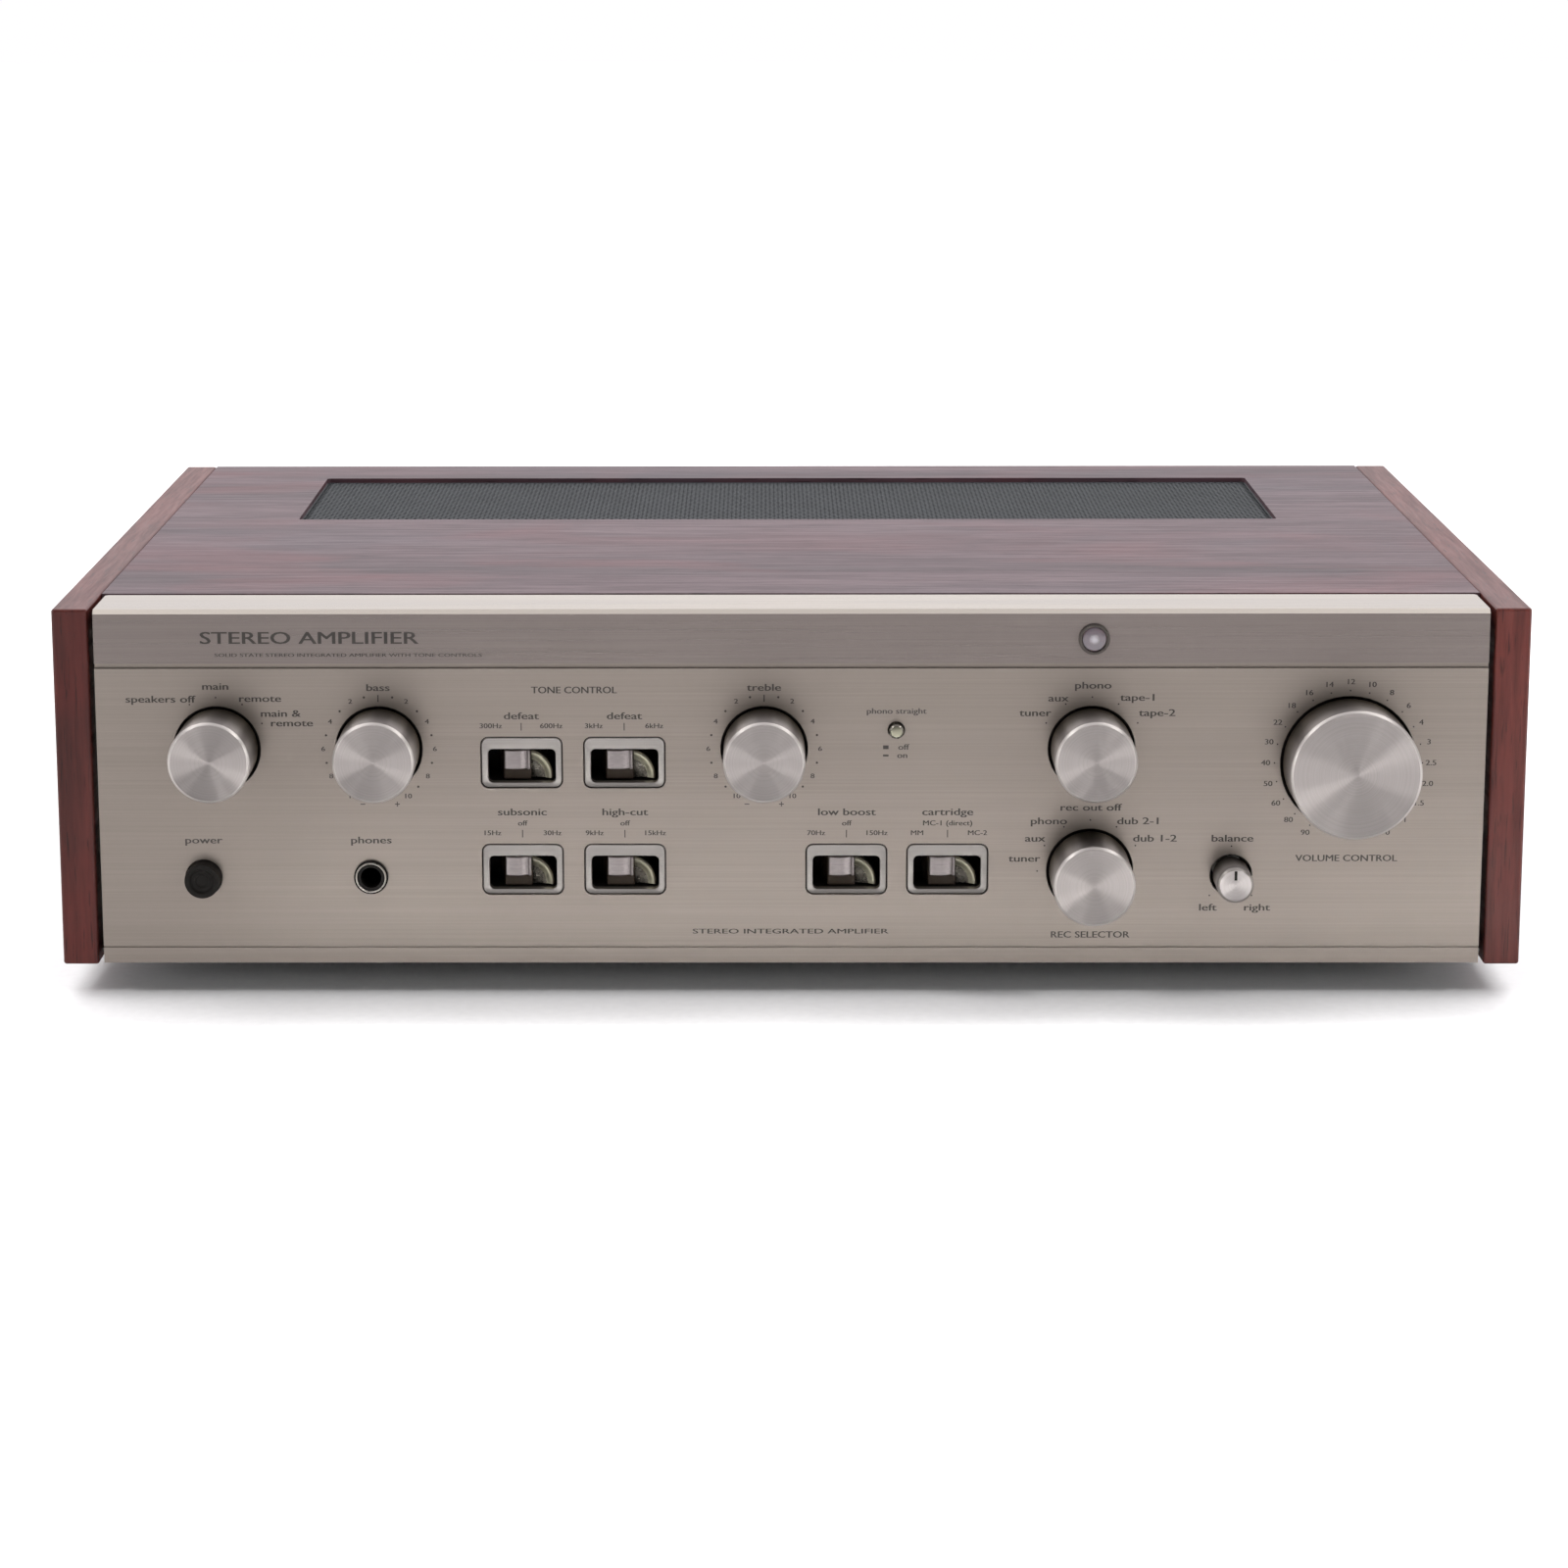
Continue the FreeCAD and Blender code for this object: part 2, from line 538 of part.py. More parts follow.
def lever(name, x_text, up):
    """A lever on an upright pivot: drum, broad thumb pad and the curved rib beside it."""
    middle = f"(foot_height + {up} - opening_drop)"
    pivot = f"({FRONT} + lever_pivot_back)"
    low = f"({middle} - lever_tall / 2)"
    drum = rod("lever_drum", "lever_tall", (x_text, pivot, low))
    step = "lever_tall - thumb_tall"
    neck_size = ("thumb_wide + 1", "lever_pivot_back - 2", f"{step} - 0.2")
    neck = box(neck_size, (f"{x_text} - thumb_left - 0.5", f"{FRONT} + 2", low))
    thumb_start = (f"{x_text} - thumb_left", FRONT, f"{low} + {step} - 0.2")
    thumb = box(("thumb_wide", "lever_pivot_back", "thumb_tall"), thumb_start)
    rib_left = f"{x_text} - thumb_left + thumb_wide - 0.2"
    upright = box(("rib_wide", "rib_deep", "lever_tall"), (rib_left, f"{FRONT} + rib_back", low))
    rib_start = (f"{rib_left} - 2", f"{FRONT} + rib_back", low)
    rib = rod("lever_tall - 0.2", "rib_deep", rib_start, TO_REAR)
    quarter = doc.addObject("Part::Common", "Quarter")
    quarter.Base = rib
    quarter.Tool = upright
    axle_hole = rod("axle_radius + running_gap", "lever_tall + 2", (x_text, pivot, f"{low} - 1"))
    keep(cut(fuse([drum, neck, thumb, quarter]), [axle_hole]), f"{name}_lever")


def lever_switches():
    """The six dark housings, each with an axle moulded across its open chamber."""
    housings = []
    for x_text, up in LEVERS.values():
        middle = f"(foot_height + {up} - opening_drop)"
        back = f"({FRONT} - panel_proud + panel_thick)"
        corner = (f"{x_text} - housing_wide / 2", back, f"{middle} - housing_tall / 2")
        shell = box(("housing_wide", "housing_deep", "housing_tall"), corner)
        start = (f"{x_text} - housing_wide / 2 + housing_wall", f"{back} - 1", f"{middle} - 5.5")
        chamber = box(("housing_wide - 2 * housing_wall", 20.5, 11), start)
        axle = rod("axle_radius", 13, (x_text, f"{FRONT} + lever_pivot_back", f"{middle} - 6.5"))
        housings.append(fuse([cut(shell, [chamber]), axle]))
    keep(gather(housings), "lever_housings")


def push_buttons():
    """The dished power button and the small pin button, each with its switch box."""
    power = ("power_x", FRONT, "foot_height + power_up")
    button = turned("power_button", power, (
        (0, "-carrier_back + 4"), ("power_radius", "-carrier_back + 4"),
        ("power_radius", "power_reach - 0.8"), ("power_radius - 0.8", "power_reach"),
        ("power_radius - 1.8", "power_reach"), ("power_radius - 2.3", "power_reach - 0.9"),
        (0, "power_reach - 1.2")))
    keep(button, "power_button")
    phono = ("phono_x", FRONT, "foot_height + phono_up")
    pin = turned("phono_button", phono, (
        (0, "-carrier_back + 4"), ("phono_radius", "-carrier_back + 4"),
        ("phono_radius", "phono_reach - 0.5"), ("phono_radius - 0.5", "phono_reach"),
        (0, "phono_reach")))
    keep(pin, "phono_button")
    power_box = box((20, 30, 22), ("power_x - 10", CARRIER_REAR, "foot_height + power_up - 11"))
    phono_box = box((11, 18, 14), ("phono_x - 5.5", CARRIER_REAR, "foot_height + phono_up - 7"))
    keep(gather([power_box, phono_box]), "push_switches")


# ---------------------------------------------------------------- steel chassis

def carrier_plate():
    """The inner plate that carries the controls, pierced for their necks and housings."""
    half = f"({CHEEK_INSIDE} - 3)"
    plate = box((f"2 * {half}", "carrier_thick", "92"), (f"-{half}", CARRIER, FLOOR))
    tools = []
    for x_text, up, _, _, _ in KNOBS.values():
        tools.append(rod("4.85", 4, (x_text, f"{CARRIER} - 1", f"foot_height + {up}"), TO_REAR))
    for x_text, up in LEVERS.values():
        low = f"foot_height + {up} - opening_drop - housing_tall / 2 - 0.3"
        corner = (f"{x_text} - housing_wide / 2 - 0.3", f"{CARRIER} - 1", low)
        tools.append(box(("housing_wide + 0.6", 4, "housing_tall + 0.6"), corner))
    corner = ("phones_x - 8.5", f"{CARRIER} - 1", "foot_height + phones_up - 7.5")
    tools.append(box((17, 4, 15), corner))
    keep(cut(plate, tools), "control_carrier")


def spacer_posts():
    """Round posts between the front panel and the carrier plate, and below the boards."""
    posts = []
    back = f"({FRONT} - panel_proud + panel_thick)"
    for x_text in ("-200", "-104", "72", "200"):
        for height in ("14.5", "86"):
            start = (x_text, back, f"foot_height + {height}")
            length = "carrier_back + panel_proud - panel_thick"
            posts.append(rod("post_radius", length, start, TO_REAR))
    for x_text, along in ((-36, 104), (206, 104), (-36, 166), (206, 166), (-16, 56), (176, 56)):
        posts.append(rod("post_radius", 10, (x_text, f"{FRONT} + {along}", FLOOR)))
    keep(gather(posts), "spacer_posts")


def bottom_plate():
    """The steel floor, with three fields of ventilation slots."""
    half = f"({CHEEK_INSIDE} - 0.5)"
    start = f"({FRONT} + 4)"
    plate = box((f"2 * {half}", "case_depth - 8", "sheet"), (f"-{half}", start, f"{FLOOR} - sheet"))
    slots = []
    for field in (-1, 0, 1):
        for slot in range(7):
            corner = (f"{field} * 115 - 33", f"{FRONT} + 120 + {slot} * 12", f"{FLOOR} - sheet - 1")
            slots.append(box((66, 3.5, "sheet + 2"), corner))
    keep(cut(plate, slots), "bottom_plate")


def side_frame(side):
    """A folded steel side: upright sheet with a top flange below the upper board."""
    outer = f"({CHEEK_INSIDE} - 0.1)"
    start = f"({CARRIER_REAR} + 0.2)"
    length = f"({REAR} - {start} - 0.2)"
    upright_x = f"{outer} - sheet" if side > 0 else f"-{outer}"
    flange_x = f"{outer} - 12" if side > 0 else f"-{outer}"
    height = f"({TOP} - board_thick - {FLOOR} - 0.1)"
    upright = box(("sheet", length, height), (upright_x, start, FLOOR))
    flange = box((12, length, "sheet"), (flange_x, start, f"{FLOOR} + {height} - sheet"))
    holes = []
    for along, up in SIDE_SCREWS:
        start = (f"{side} * ({outer} - 4)", f"{FRONT} + {along}", up)
        holes.append(rod("screw_radius + 0.2", 6, start, sideways(side)))
    return cut(fuse([upright, flange]), holes)


def screw(radius, length, head_radius, head_height, start, rotation=None):
    """A pan-head screw: its shank runs on from the head in the rotation's direction."""
    turn = rotation or FreeCAD.Rotation()
    head = rod(head_radius, head_height, start, turn)
    shank = rod(radius, f"{head_height} + {length}", start, turn)
    return fuse([head, shank])


def cheek_screws():
    """Screws from inside the side frames into both cheeks."""
    screws = []
    for side in (-1, 1):
        for along, up in SIDE_SCREWS:
            x_text = f"{side} * ({CHEEK_INSIDE} - 0.1 - sheet - head_tall)"
            start = (x_text, f"{FRONT} + {along}", up)
            screws.append(screw("screw_radius", 8.8, "screw_head", "head_tall", start, sideways(side)))
    keep(gather(screws), "cheek_screws")


def feet():
    """Four round rubber feet with a hollow for the screw, and their screws."""
    rubbers, screws = [], []
    for side, along in FEET:
        centre = (f"{side} * foot_x", f"{FRONT} + {along}", 0)
        taper = doc.addObject("Part::Cone", "Taper")
        taper.setExpression("Radius1", formula("foot_radius - 1.5"))
        taper.setExpression("Radius2", formula("foot_radius"))
        taper.setExpression("Height", formula(f"{FLOOR} - sheet"))
        place(taper, centre)
        hollow = rod(4.5, 6, (centre[0], centre[1], -1))
        passage = rod(2, 20, (centre[0], centre[1], -1))
        rubbers.append(cut(taper, [hollow, passage]))
        screws.append(screw(2, 11, 4, 2.2, (centre[0], centre[1], 2.8)))
    keep(gather(rubbers), "feet")
    keep(gather(screws), "foot_screws")


# ---------------------------------------------------------------- rear panel

def jack_place(column, row):
    """Where a phono jack's axis meets the rear panel."""
    return (f"jack_x - {column} * jack_column", f"foot_height + jack_up + {row} * jack_pitch")


def rear_panel():
    """The steel back, pierced for jacks, terminals, outlets and the cord bushing."""
    half = f"({CHEEK_INSIDE} - 0.3)"
    height = f"({TOP} - board_thick - {FLOOR} - 0.4)"
    plate = box((f"2 * {half}", "sheet", height), (f"-{half}", REAR, f"{FLOOR} + 0.1"))
    tools = []
    for column, row in JACKS:
        x_text, z_text = jack_place(column, row)
        tools.append(rod(3.6, 4, (x_text, f"{REAR} - 1", z_text), TO_REAR))
    for post in range(8):
        x_text = f"terminal_x + {post} * terminal_pitch"
        tools.append(rod(2.6, 4, (x_text, f"{REAR} - 1", "foot_height + terminal_up"), TO_REAR))
    tools.append(rod(6.2, 4, ("gland_x", f"{REAR} - 1", "foot_height + gland_up"), TO_REAR))
    for slot in range(14):
        corner = (f"40 + {slot} * 10", f"{REAR} - 1", "foot_height + 62")
        tools.append(box((3.5, 4, 26), corner))
    keep(cut(plate, tools), "rear_panel")


def rear_screws():
    """Screws around the rear panel's edge."""
    screws = []
    for x_text in ("-205", "-70", "70", "205"):
        for up in (9, 94):
            start = (x_text, f"{REAR} + sheet + head_tall", f"foot_height + {up}")
            screws.append(screw("screw_radius", 7, "screw_head", "head_tall", start, TO_FRONT))
    keep(gather(screws), "rear_screws")


def phono_jacks():
    """Sixteen jacks in four insulating plates: metal sleeves round insulated cores."""
    plates, sleeves = [], []
    face = f"({REAR} + sheet)"
    for block in range(4):
        x_low = f"jack_x - {2 * block + 1.5} * jack_column + 0.5"
        corner = (x_low, face, "foot_height + jack_up - 8.5")
        plate = box(("2 * jack_column - 1", "plate_thick", "jack_pitch + 17"), corner)
        cores, bores = [], []
        for column in (2 * block, 2 * block + 1):
            for row in (0, 1):
                x_text, z_text = jack_place(column, row)
                cores.append(rod(3.2, 11, (x_text, f"{face} - 3", z_text), TO_REAR))
                bores.append(rod("jack_bore", 20, (x_text, f"{face} - 1", z_text), TO_REAR))
        plates.append(cut(fuse([plate] + cores), bores))
    for column, row in JACKS:
        x_text, z_text = jack_place(column, row)
        start = (x_text, f"{face} + plate_thick", z_text)
        flange = rod(5.6, 1, start, TO_REAR)
        sleeve = rod("jack_radius", 9.5, start, TO_REAR)
        sleeves.append(cut(fuse([flange, sleeve]), [rod(3.25, 10, start, TO_REAR)]))
    keep(gather(plates), "jack_plates")
    keep(gather(sleeves), "jack_sleeves")


def speaker_terminals():
    """Two terminal strips with four binding posts each, and the ground post."""
    strips, posts = [], []
    face = f"({REAR} + sheet)"
    for strip in (0, 1):
        x_low = f"terminal_x + {4 * strip} * terminal_pitch - 8"
        corner = (x_low, face, "foot_height + terminal_up - 11")
        body = box(("4 * terminal_pitch - 1", 3, 22), corner)
        tools = []
        for post in range(4 * strip, 4 * strip + 4):
            x_text = f"terminal_x + {post} * terminal_pitch"
            tools.append(rod(2.5, 6, (x_text, f"{face} - 1", "foot_height + terminal_up"), TO_REAR))
        strips.append(cut(body, tools))
    for post in range(8):
        start = (f"terminal_x + {post} * terminal_pitch", f"{REAR} - 4", "foot_height + terminal_up")
        stem = rod(2, "rear_reach + 7", start, TO_REAR)
        cap = rod(5, 9, (start[0], f"{face} + 3.2", start[2]), TO_REAR)
        posts.append(fuse([stem, cap]))
    ground = ("jack_x + 16", face, "foot_height + jack_up + jack_pitch / 2")
    posts.append(fuse([rod(5, 1, ground, TO_REAR), rod(4, 8, ground, TO_REAR)]))
    keep(gather(strips), "terminal_strips")
    keep(gather(posts), "binding_posts")


def mains_fittings():
    """A block of two-blade outlets and the bushing that the mains cord passes through."""
    face = f"({REAR} + sheet)"
    block = box((70, 9, 26), ("outlet_x - 35", face, "foot_height + outlet_up - 13"))
    slots = []
    for outlet in (-1, 1):
        for blade in (-1, 1):
            x_text = f"outlet_x + {outlet} * 17 + {blade} * 6.35 - 1"
            slots.append(box((2, 8, 7.5), (x_text, f"{face} + 2", "foot_height + outlet_up - 3.75")))
    keep(cut(block, slots), "outlet_block")
    bushing = turned("cord_bushing", ("gland_x", face, "foot_height + gland_up"), (
        ("gland_bore", -6), (7.4, -6), (7.4, -1.7), (6.1, -1.5), (6.1, 0), (8.5, 0),
        (8.5, 2.5), (7, 6), ("gland_bore", 6)), TO_REAR)
    keep(bushing, "cord_bushing")


# ---------------------------------------------------------------- inside the case

def transformer():
    """The mains transformer: laminated core on a strap with feet, and its winding."""
    centre_x, centre_y = "-150", f"({FRONT} + 110)"
    base = f"({FLOOR} + 2)"
    left, front = f"{centre_x} - core_wide / 2", f"{centre_y} - core_deep / 2"
    core = box(("core_wide", "core_deep", "core_tall"), (left, front, base))
    opening = (f"{left} + core_wide / 4", f"{front} - 1", f"{base} + core_tall / 4")
    window = box(("core_wide / 2", "core_deep + 2", "core_tall / 2"), opening)
    foot = box(("core_wide + 18", "core_deep", 2), (f"{left} - 9", front, FLOOR))
    keep(fuse([cut(core, [window]), foot]), "transformer_core")
    corner = (f"{left} + core_wide / 4 + 0.2", f"{front} - 12", f"{base} + core_tall / 4 + 0.2")
    winding = box(("core_wide / 2 - 0.4", "core_deep + 24", "core_tall / 2 - 0.4"), corner)
    keep(winding, "transformer_winding")


def capacitors():
    """Two large can capacitors standing beside the transformer."""
    cans = []
    for index in (0, 1):
        y_text = f"{FRONT} + 90 + {index} * (2 * can_radius + 6)"
        cans.append(rod("can_radius", "can_tall", (-65, y_text, FLOOR)))
    keep(gather(cans), "filter_capacitors")


def heat_sinks():
    """A finned extrusion for each channel below the vent, with a power transistor pair."""
    start_y = f"({FRONT} + vent_start + 18)"
    sinks, cans = [], []
    for side in (-1, 1):
        left = f"({side} * 80 - sink_wide / 2)"
        pieces = [box(("sink_wide", 6, "sink_tall"), (left, start_y, FLOOR))]
        for fin in range(25):
            corner = (f"{left} + {fin} * fin_pitch", f"{start_y} + 5.9", FLOOR)
            pieces.append(box(("fin_thick", "sink_deep - 5.9", "sink_tall"), corner))
        sinks.append(fuse(pieces))
        for can in (-1, 1):
            x_text = f"{side} * 80 + {can} * 35"
            cans.append(rod(10, 8, (x_text, f"{start_y} - 8", f"{FLOOR} + 40"), TO_REAR))
    keep(gather(sinks), "heat_sinks")
    keep(gather(cans), "output_transistors")


def circuit_boards():
    """The printed boards: power amplifier, equaliser behind the jacks, and tone control."""
    boards = [
        box((250, 70, "board_sheet"), (-40, f"{FRONT} + 100", f"{FLOOR} + 10")),
        box((170, "board_sheet", 45), (-190, f"{REAR} - 14", f"{FLOOR} + 38")),
        box((200, 40, "board_sheet"), (-20, f"{FRONT} + 52", f"{FLOOR} + 10")),
    ]
    keep(gather(boards), "circuit_boards")
    relay = box((28, 22, 24), (150, f"{FRONT} + 120", f"{FLOOR} + 10 + board_sheet"))
    keep(relay, "speaker_relay")


def build():
    """Make every sub-part."""
    cheek("left_cheek", "-case_width / 2", -1)
    cheek("right_cheek", CHEEK_INSIDE, 1)
    top_panel()
    vent_mesh()
    mesh_screws()
    front_panel()
    top_rail()
    pilot_lamp()
    headphone_jack()
    for name, sizes in KNOBS.items():
        knob(name, *sizes)
    controls()
    for name, (x_text, up) in LEVERS.items():
        lever(name, x_text, up)
    lever_switches()
    push_buttons()
    carrier_plate()
    spacer_posts()
    bottom_plate()
    keep(gather([side_frame(-1), side_frame(1)]), "side_frames")
    cheek_screws()
    feet()
    rear_panel()
    rear_screws()
    phono_jacks()
    speaker_terminals()
    mains_fittings()
    transformer()
    capacitors()
    heat_sinks()
    circuit_boards()


def export():
    """Check every object, then write each sub-part to its own file."""
    doc.recompute()
    for item in doc.Objects:
        if "Invalid" in item.State or "Error" in item.State:
            raise RuntimeError(f"{item.Name} ({item.Label}) failed: {item.State}")
    for item in parts:
        if item.Shape.isNull() or not item.Shape.isValid() or not item.Shape.Solids:
            raise RuntimeError(f"{item.Label} has no valid solid")
    for item in parts:
        item.Shape.exportStep(f"parts/{item.Label}.step")
    print(len(parts), "sub-parts written")


build()
export()
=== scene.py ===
import json
import math
import bmesh
import bpy
from mathutils import Matrix, Vector


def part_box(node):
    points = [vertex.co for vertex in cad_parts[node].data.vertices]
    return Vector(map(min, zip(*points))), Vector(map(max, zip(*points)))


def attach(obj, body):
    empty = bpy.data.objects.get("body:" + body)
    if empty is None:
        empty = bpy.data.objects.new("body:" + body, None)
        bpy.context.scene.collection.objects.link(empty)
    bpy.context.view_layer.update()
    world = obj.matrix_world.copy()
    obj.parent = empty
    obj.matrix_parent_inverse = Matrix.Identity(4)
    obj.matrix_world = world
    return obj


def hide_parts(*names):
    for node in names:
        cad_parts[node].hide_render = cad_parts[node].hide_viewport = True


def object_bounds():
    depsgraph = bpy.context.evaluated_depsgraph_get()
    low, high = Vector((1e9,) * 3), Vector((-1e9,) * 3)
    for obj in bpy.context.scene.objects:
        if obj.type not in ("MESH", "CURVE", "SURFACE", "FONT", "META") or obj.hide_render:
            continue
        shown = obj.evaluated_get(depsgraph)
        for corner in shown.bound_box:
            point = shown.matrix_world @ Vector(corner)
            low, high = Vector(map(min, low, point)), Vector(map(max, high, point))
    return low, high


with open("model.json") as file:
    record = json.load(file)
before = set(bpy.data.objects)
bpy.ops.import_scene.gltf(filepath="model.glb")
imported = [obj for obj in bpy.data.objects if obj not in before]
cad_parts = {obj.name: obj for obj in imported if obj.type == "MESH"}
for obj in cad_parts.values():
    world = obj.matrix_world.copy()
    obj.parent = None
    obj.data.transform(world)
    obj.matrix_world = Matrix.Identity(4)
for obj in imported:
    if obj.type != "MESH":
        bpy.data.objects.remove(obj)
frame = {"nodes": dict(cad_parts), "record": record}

# Looks of the integrated amplifier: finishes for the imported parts, and finer pieces for the
# knobs, levers, buttons, socket nut, lamp, vent mesh, rear screws, binding posts and printed
# lettering. Metres, +Z up, front towards -Y. A number times MM is in millimetres, and so are
# the profiles given to lathe and the heights of words.

MM = 0.001
cad_low, cad_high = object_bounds()
nodes = frame["nodes"]

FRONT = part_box("left_cheek")[0].y
CASE_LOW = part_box("left_cheek")[0].z
PANEL_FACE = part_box("front_panel")[0].y
REAR_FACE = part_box("rear_panel")[1].y
KNOBS = ("speakers", "bass", "treble", "input", "rec", "balance", "volume")
LEVERS = ("bass_turnover", "treble_turnover", "subsonic", "high_cut", "low_boost", "cartridge")

# The middle of a lever's window: across from the lever's left side and up from its middle.
WINDOW_ACROSS = 7.5
WINDOW_RAISE = 1.25

# Printing: its plane, a word's usual height and stretch, and how far its two strikes are
# shifted from its place, as a share of its height and in depth.
INK_FACE = PANEL_FACE - 0.03 * MM
WORD = 3.1
STRETCH = 1.42
STRIKE_STEP = 0.026
STRIKE_DEPTH = 0.004

# Sockets of a Mix node, by number: amount, first, second and result.
MIX_SOCKETS = {"RGBA": (0, 6, 7, 2), "VECTOR": (0, 4, 5, 1)}


def centre_of(node):
    """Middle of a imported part's box."""
    low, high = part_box(node)
    return (low + high) / 2


def window_middle(name):
    """Middle of the window that a lever shows through: its x and its z."""
    low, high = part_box(f"{name}_lever")
    return low.x + WINDOW_ACROSS * MM, (low.z + high.z) / 2 + WINDOW_RAISE * MM


def solids_of(node):
    """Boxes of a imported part's separate solids, from left to right and then upwards."""
    shape = bmesh.new()
    shape.from_mesh(nodes[node].data)
    shape.transform(nodes[node].matrix_world)
    bmesh.ops.remove_doubles(shape, verts=shape.verts, dist=1e-6)
    seen, boxes = set(), []
    for start in shape.verts:
        if start in seen:
            continue
        seen.add(start)
        waiting, corners = [start], []
        while waiting:
            vert = waiting.pop()
            corners.append(tuple(vert.co))
            for edge in vert.link_edges:
                other = edge.other_vert(vert)
                if other not in seen:
                    seen.add(other)
                    waiting.append(other)
        boxes.append((Vector(map(min, zip(*corners))), Vector(map(max, zip(*corners)))))
    shape.free()
    return sorted(boxes, key=lambda box: (round(box[0].x, 4), round(box[0].z, 4)))


# ---------------------------------------------------------------- finishes

class Finish:
    """A procedural material: short calls that add and join its nodes."""

    def __init__(self, name, **settings):
        self.material = bpy.data.materials.new(name)
        self.material.use_nodes = True
        self.tree = self.material.node_tree
        self.shader = self.tree.nodes["Principled BSDF"]
        self.place = self.tree.nodes.new("ShaderNodeTexCoord").outputs["Object"]
        for socket, number in settings.items():
            self.shader.inputs[socket.replace("_", " ")].default_value = number

    def node(self, kind, sockets=(), **settings):
        """Add a node, set its properties and fill or join its sockets."""
        item = self.tree.nodes.new("ShaderNode" + kind)
        for name, setting in settings.items():
            setattr(item, name, setting)
        for name, source in dict(sockets).items():
            if isinstance(source, bpy.types.NodeSocket):
                self.tree.links.new(source, item.inputs[name])
            else:
                item.inputs[name].default_value = source
        return item

    def stretched(self, scale, source=None):
        """Coordinates scaled by different amounts along each axis."""
        sockets = {"Vector": source or self.place, "Scale": scale}
        return self.node("Mapping", sockets).outputs["Vector"]

    def noise(self, vector, scale=1.0, detail=2.0, roughness=0.5, distortion=0.0):
        """Fractal noise between 0 and 1."""
        sockets = {"Vector": vector, "Scale": scale, "Detail": detail,
                   "Roughness": roughness, "Distortion": distortion}
        return self.node("TexNoise", sockets).outputs["Fac"]

    def maths(self, operation, first, second=0.0):
        """One arithmetic step."""
        return self.node("Math", {0: first, 1: second}, operation=operation).outputs[0]

    def spread(self, source, low, high, new_low, new_high):
        """Stretch a range of numbers to another one."""
        sockets = {"Value": source, "From Min": low, "From Max": high,
                   "To Min": new_low, "To Max": new_high}
        return self.node("MapRange", sockets).outputs["Result"]

    def ramp(self, source, stops):
        """Colours along a number: stops are (position, (red, green, blue))."""
        item = self.node("ValToRGB", {"Fac": source})
        elements = item.color_ramp.elements
        while len(elements) < len(stops):
            elements.new(0.5)
        for element, (position, colour) in zip(elements, stops):
            element.position = position
            element.color = (*colour, 1)
        return item.outputs["Color"]

    def weighed(self, first, share, second):
        """Two numbers added, the first by its share and the second by the rest."""
        return self.maths("ADD", self.maths("MULTIPLY", first, share),
                          self.maths("MULTIPLY", second, 1 - share))

    def mix(self, amount, first, second, kind="RGBA"):
        """Blend two colours, or two vectors where kind is VECTOR."""
        item = self.node("Mix", data_type=kind)
        factor, start, end, result = MIX_SOCKETS[kind]
        for index, source in ((factor, amount), (start, first), (end, second)):
            if isinstance(source, bpy.types.NodeSocket):
                self.tree.links.new(source, item.inputs[index])
            else:
                item.inputs[index].default_value = source if index == factor else (*source, 1)
        return item.outputs[result]

    def facing(self, axis):
        """How far the surface faces along an axis, from -1 to 1."""
        normal = self.node("NewGeometry").outputs["Normal"]
        return self.node("SeparateXYZ", {"Vector": normal}).outputs[axis]

    def about_axis(self):
        """Distance from the front-to-back axis through the piece's origin, and place along it."""
        parts = self.node("SeparateXYZ", {"Vector": self.place}).outputs
        across = self.maths("MULTIPLY", parts["X"], parts["X"])
        up = self.maths("MULTIPLY", parts["Z"], parts["Z"])
        return self.maths("SQRT", self.maths("ADD", across, up)), parts["Y"]

    def drive(self, socket, source):
        """Join a node to the shader."""
        self.tree.links.new(source, self.shader.inputs[socket])

    def bump(self, height, strength, distance=0.0002, onto=None):
        """Relief from a height, in metres, on top of an earlier relief."""
        sockets = {"Height": height, "Strength": strength, "Distance": distance}
        if onto:
            sockets["Normal"] = onto
        normal = self.node("Bump", sockets).outputs["Normal"]
        self.drive("Normal", normal)
        return normal

    def spin_direction(self, axis):
        """Take the direction of the stretched gloss from the circles round an axis."""
        tangent = self.node("Tangent", direction_type="RADIAL", axis=axis)
        self.drive("Tangent", tangent.outputs["Tangent"])


def brushed(name, dark, light, roughness=0.33, anisotropic=0.55, painted_top_highlight=None):
    """Anodised aluminium brushed from side to side; the last argument is a brighter colour painted on
    upper faces, a painted highlight.
    """
    finish = Finish(name, Metallic=0.78, Anisotropic=anisotropic, Anisotropic_Rotation=0.25,
                    Specular_IOR_Level=0.3)
    hair = finish.noise(finish.stretched((6, 1800, 1800)), detail=4, roughness=0.7)
    streak = finish.noise(finish.stretched((1.5, 160, 160)), detail=2)
    cloud = finish.noise(finish.place, scale=9, detail=2)
    colour = finish.ramp(finish.weighed(hair, 0.75, streak), ((0.34, dark), (0.66, light)))
    dull = tuple(0.93 * part for part in dark)
    wear_and_painted_highlight = finish.mix(finish.spread(cloud, 0.35, 0.7, 0, 0.25), colour, dull)
    # Painted highlight: faces that look up are painted the brighter colour.
    if painted_top_highlight:
        wear_and_painted_highlight = finish.mix(finish.spread(finish.facing("Z"), 0.3, 0.6, 0, 1), wear_and_painted_highlight, painted_top_highlight)
    finish.drive("Base Color", wear_and_painted_highlight)
    finish.drive("Roughness", finish.spread(hair, 0.3, 0.7, roughness - 0.05, roughness + 0.06))
    finish.bump(hair, 0.12, 0.00003)
    finish.spin_direction("Z")
    return finish.material


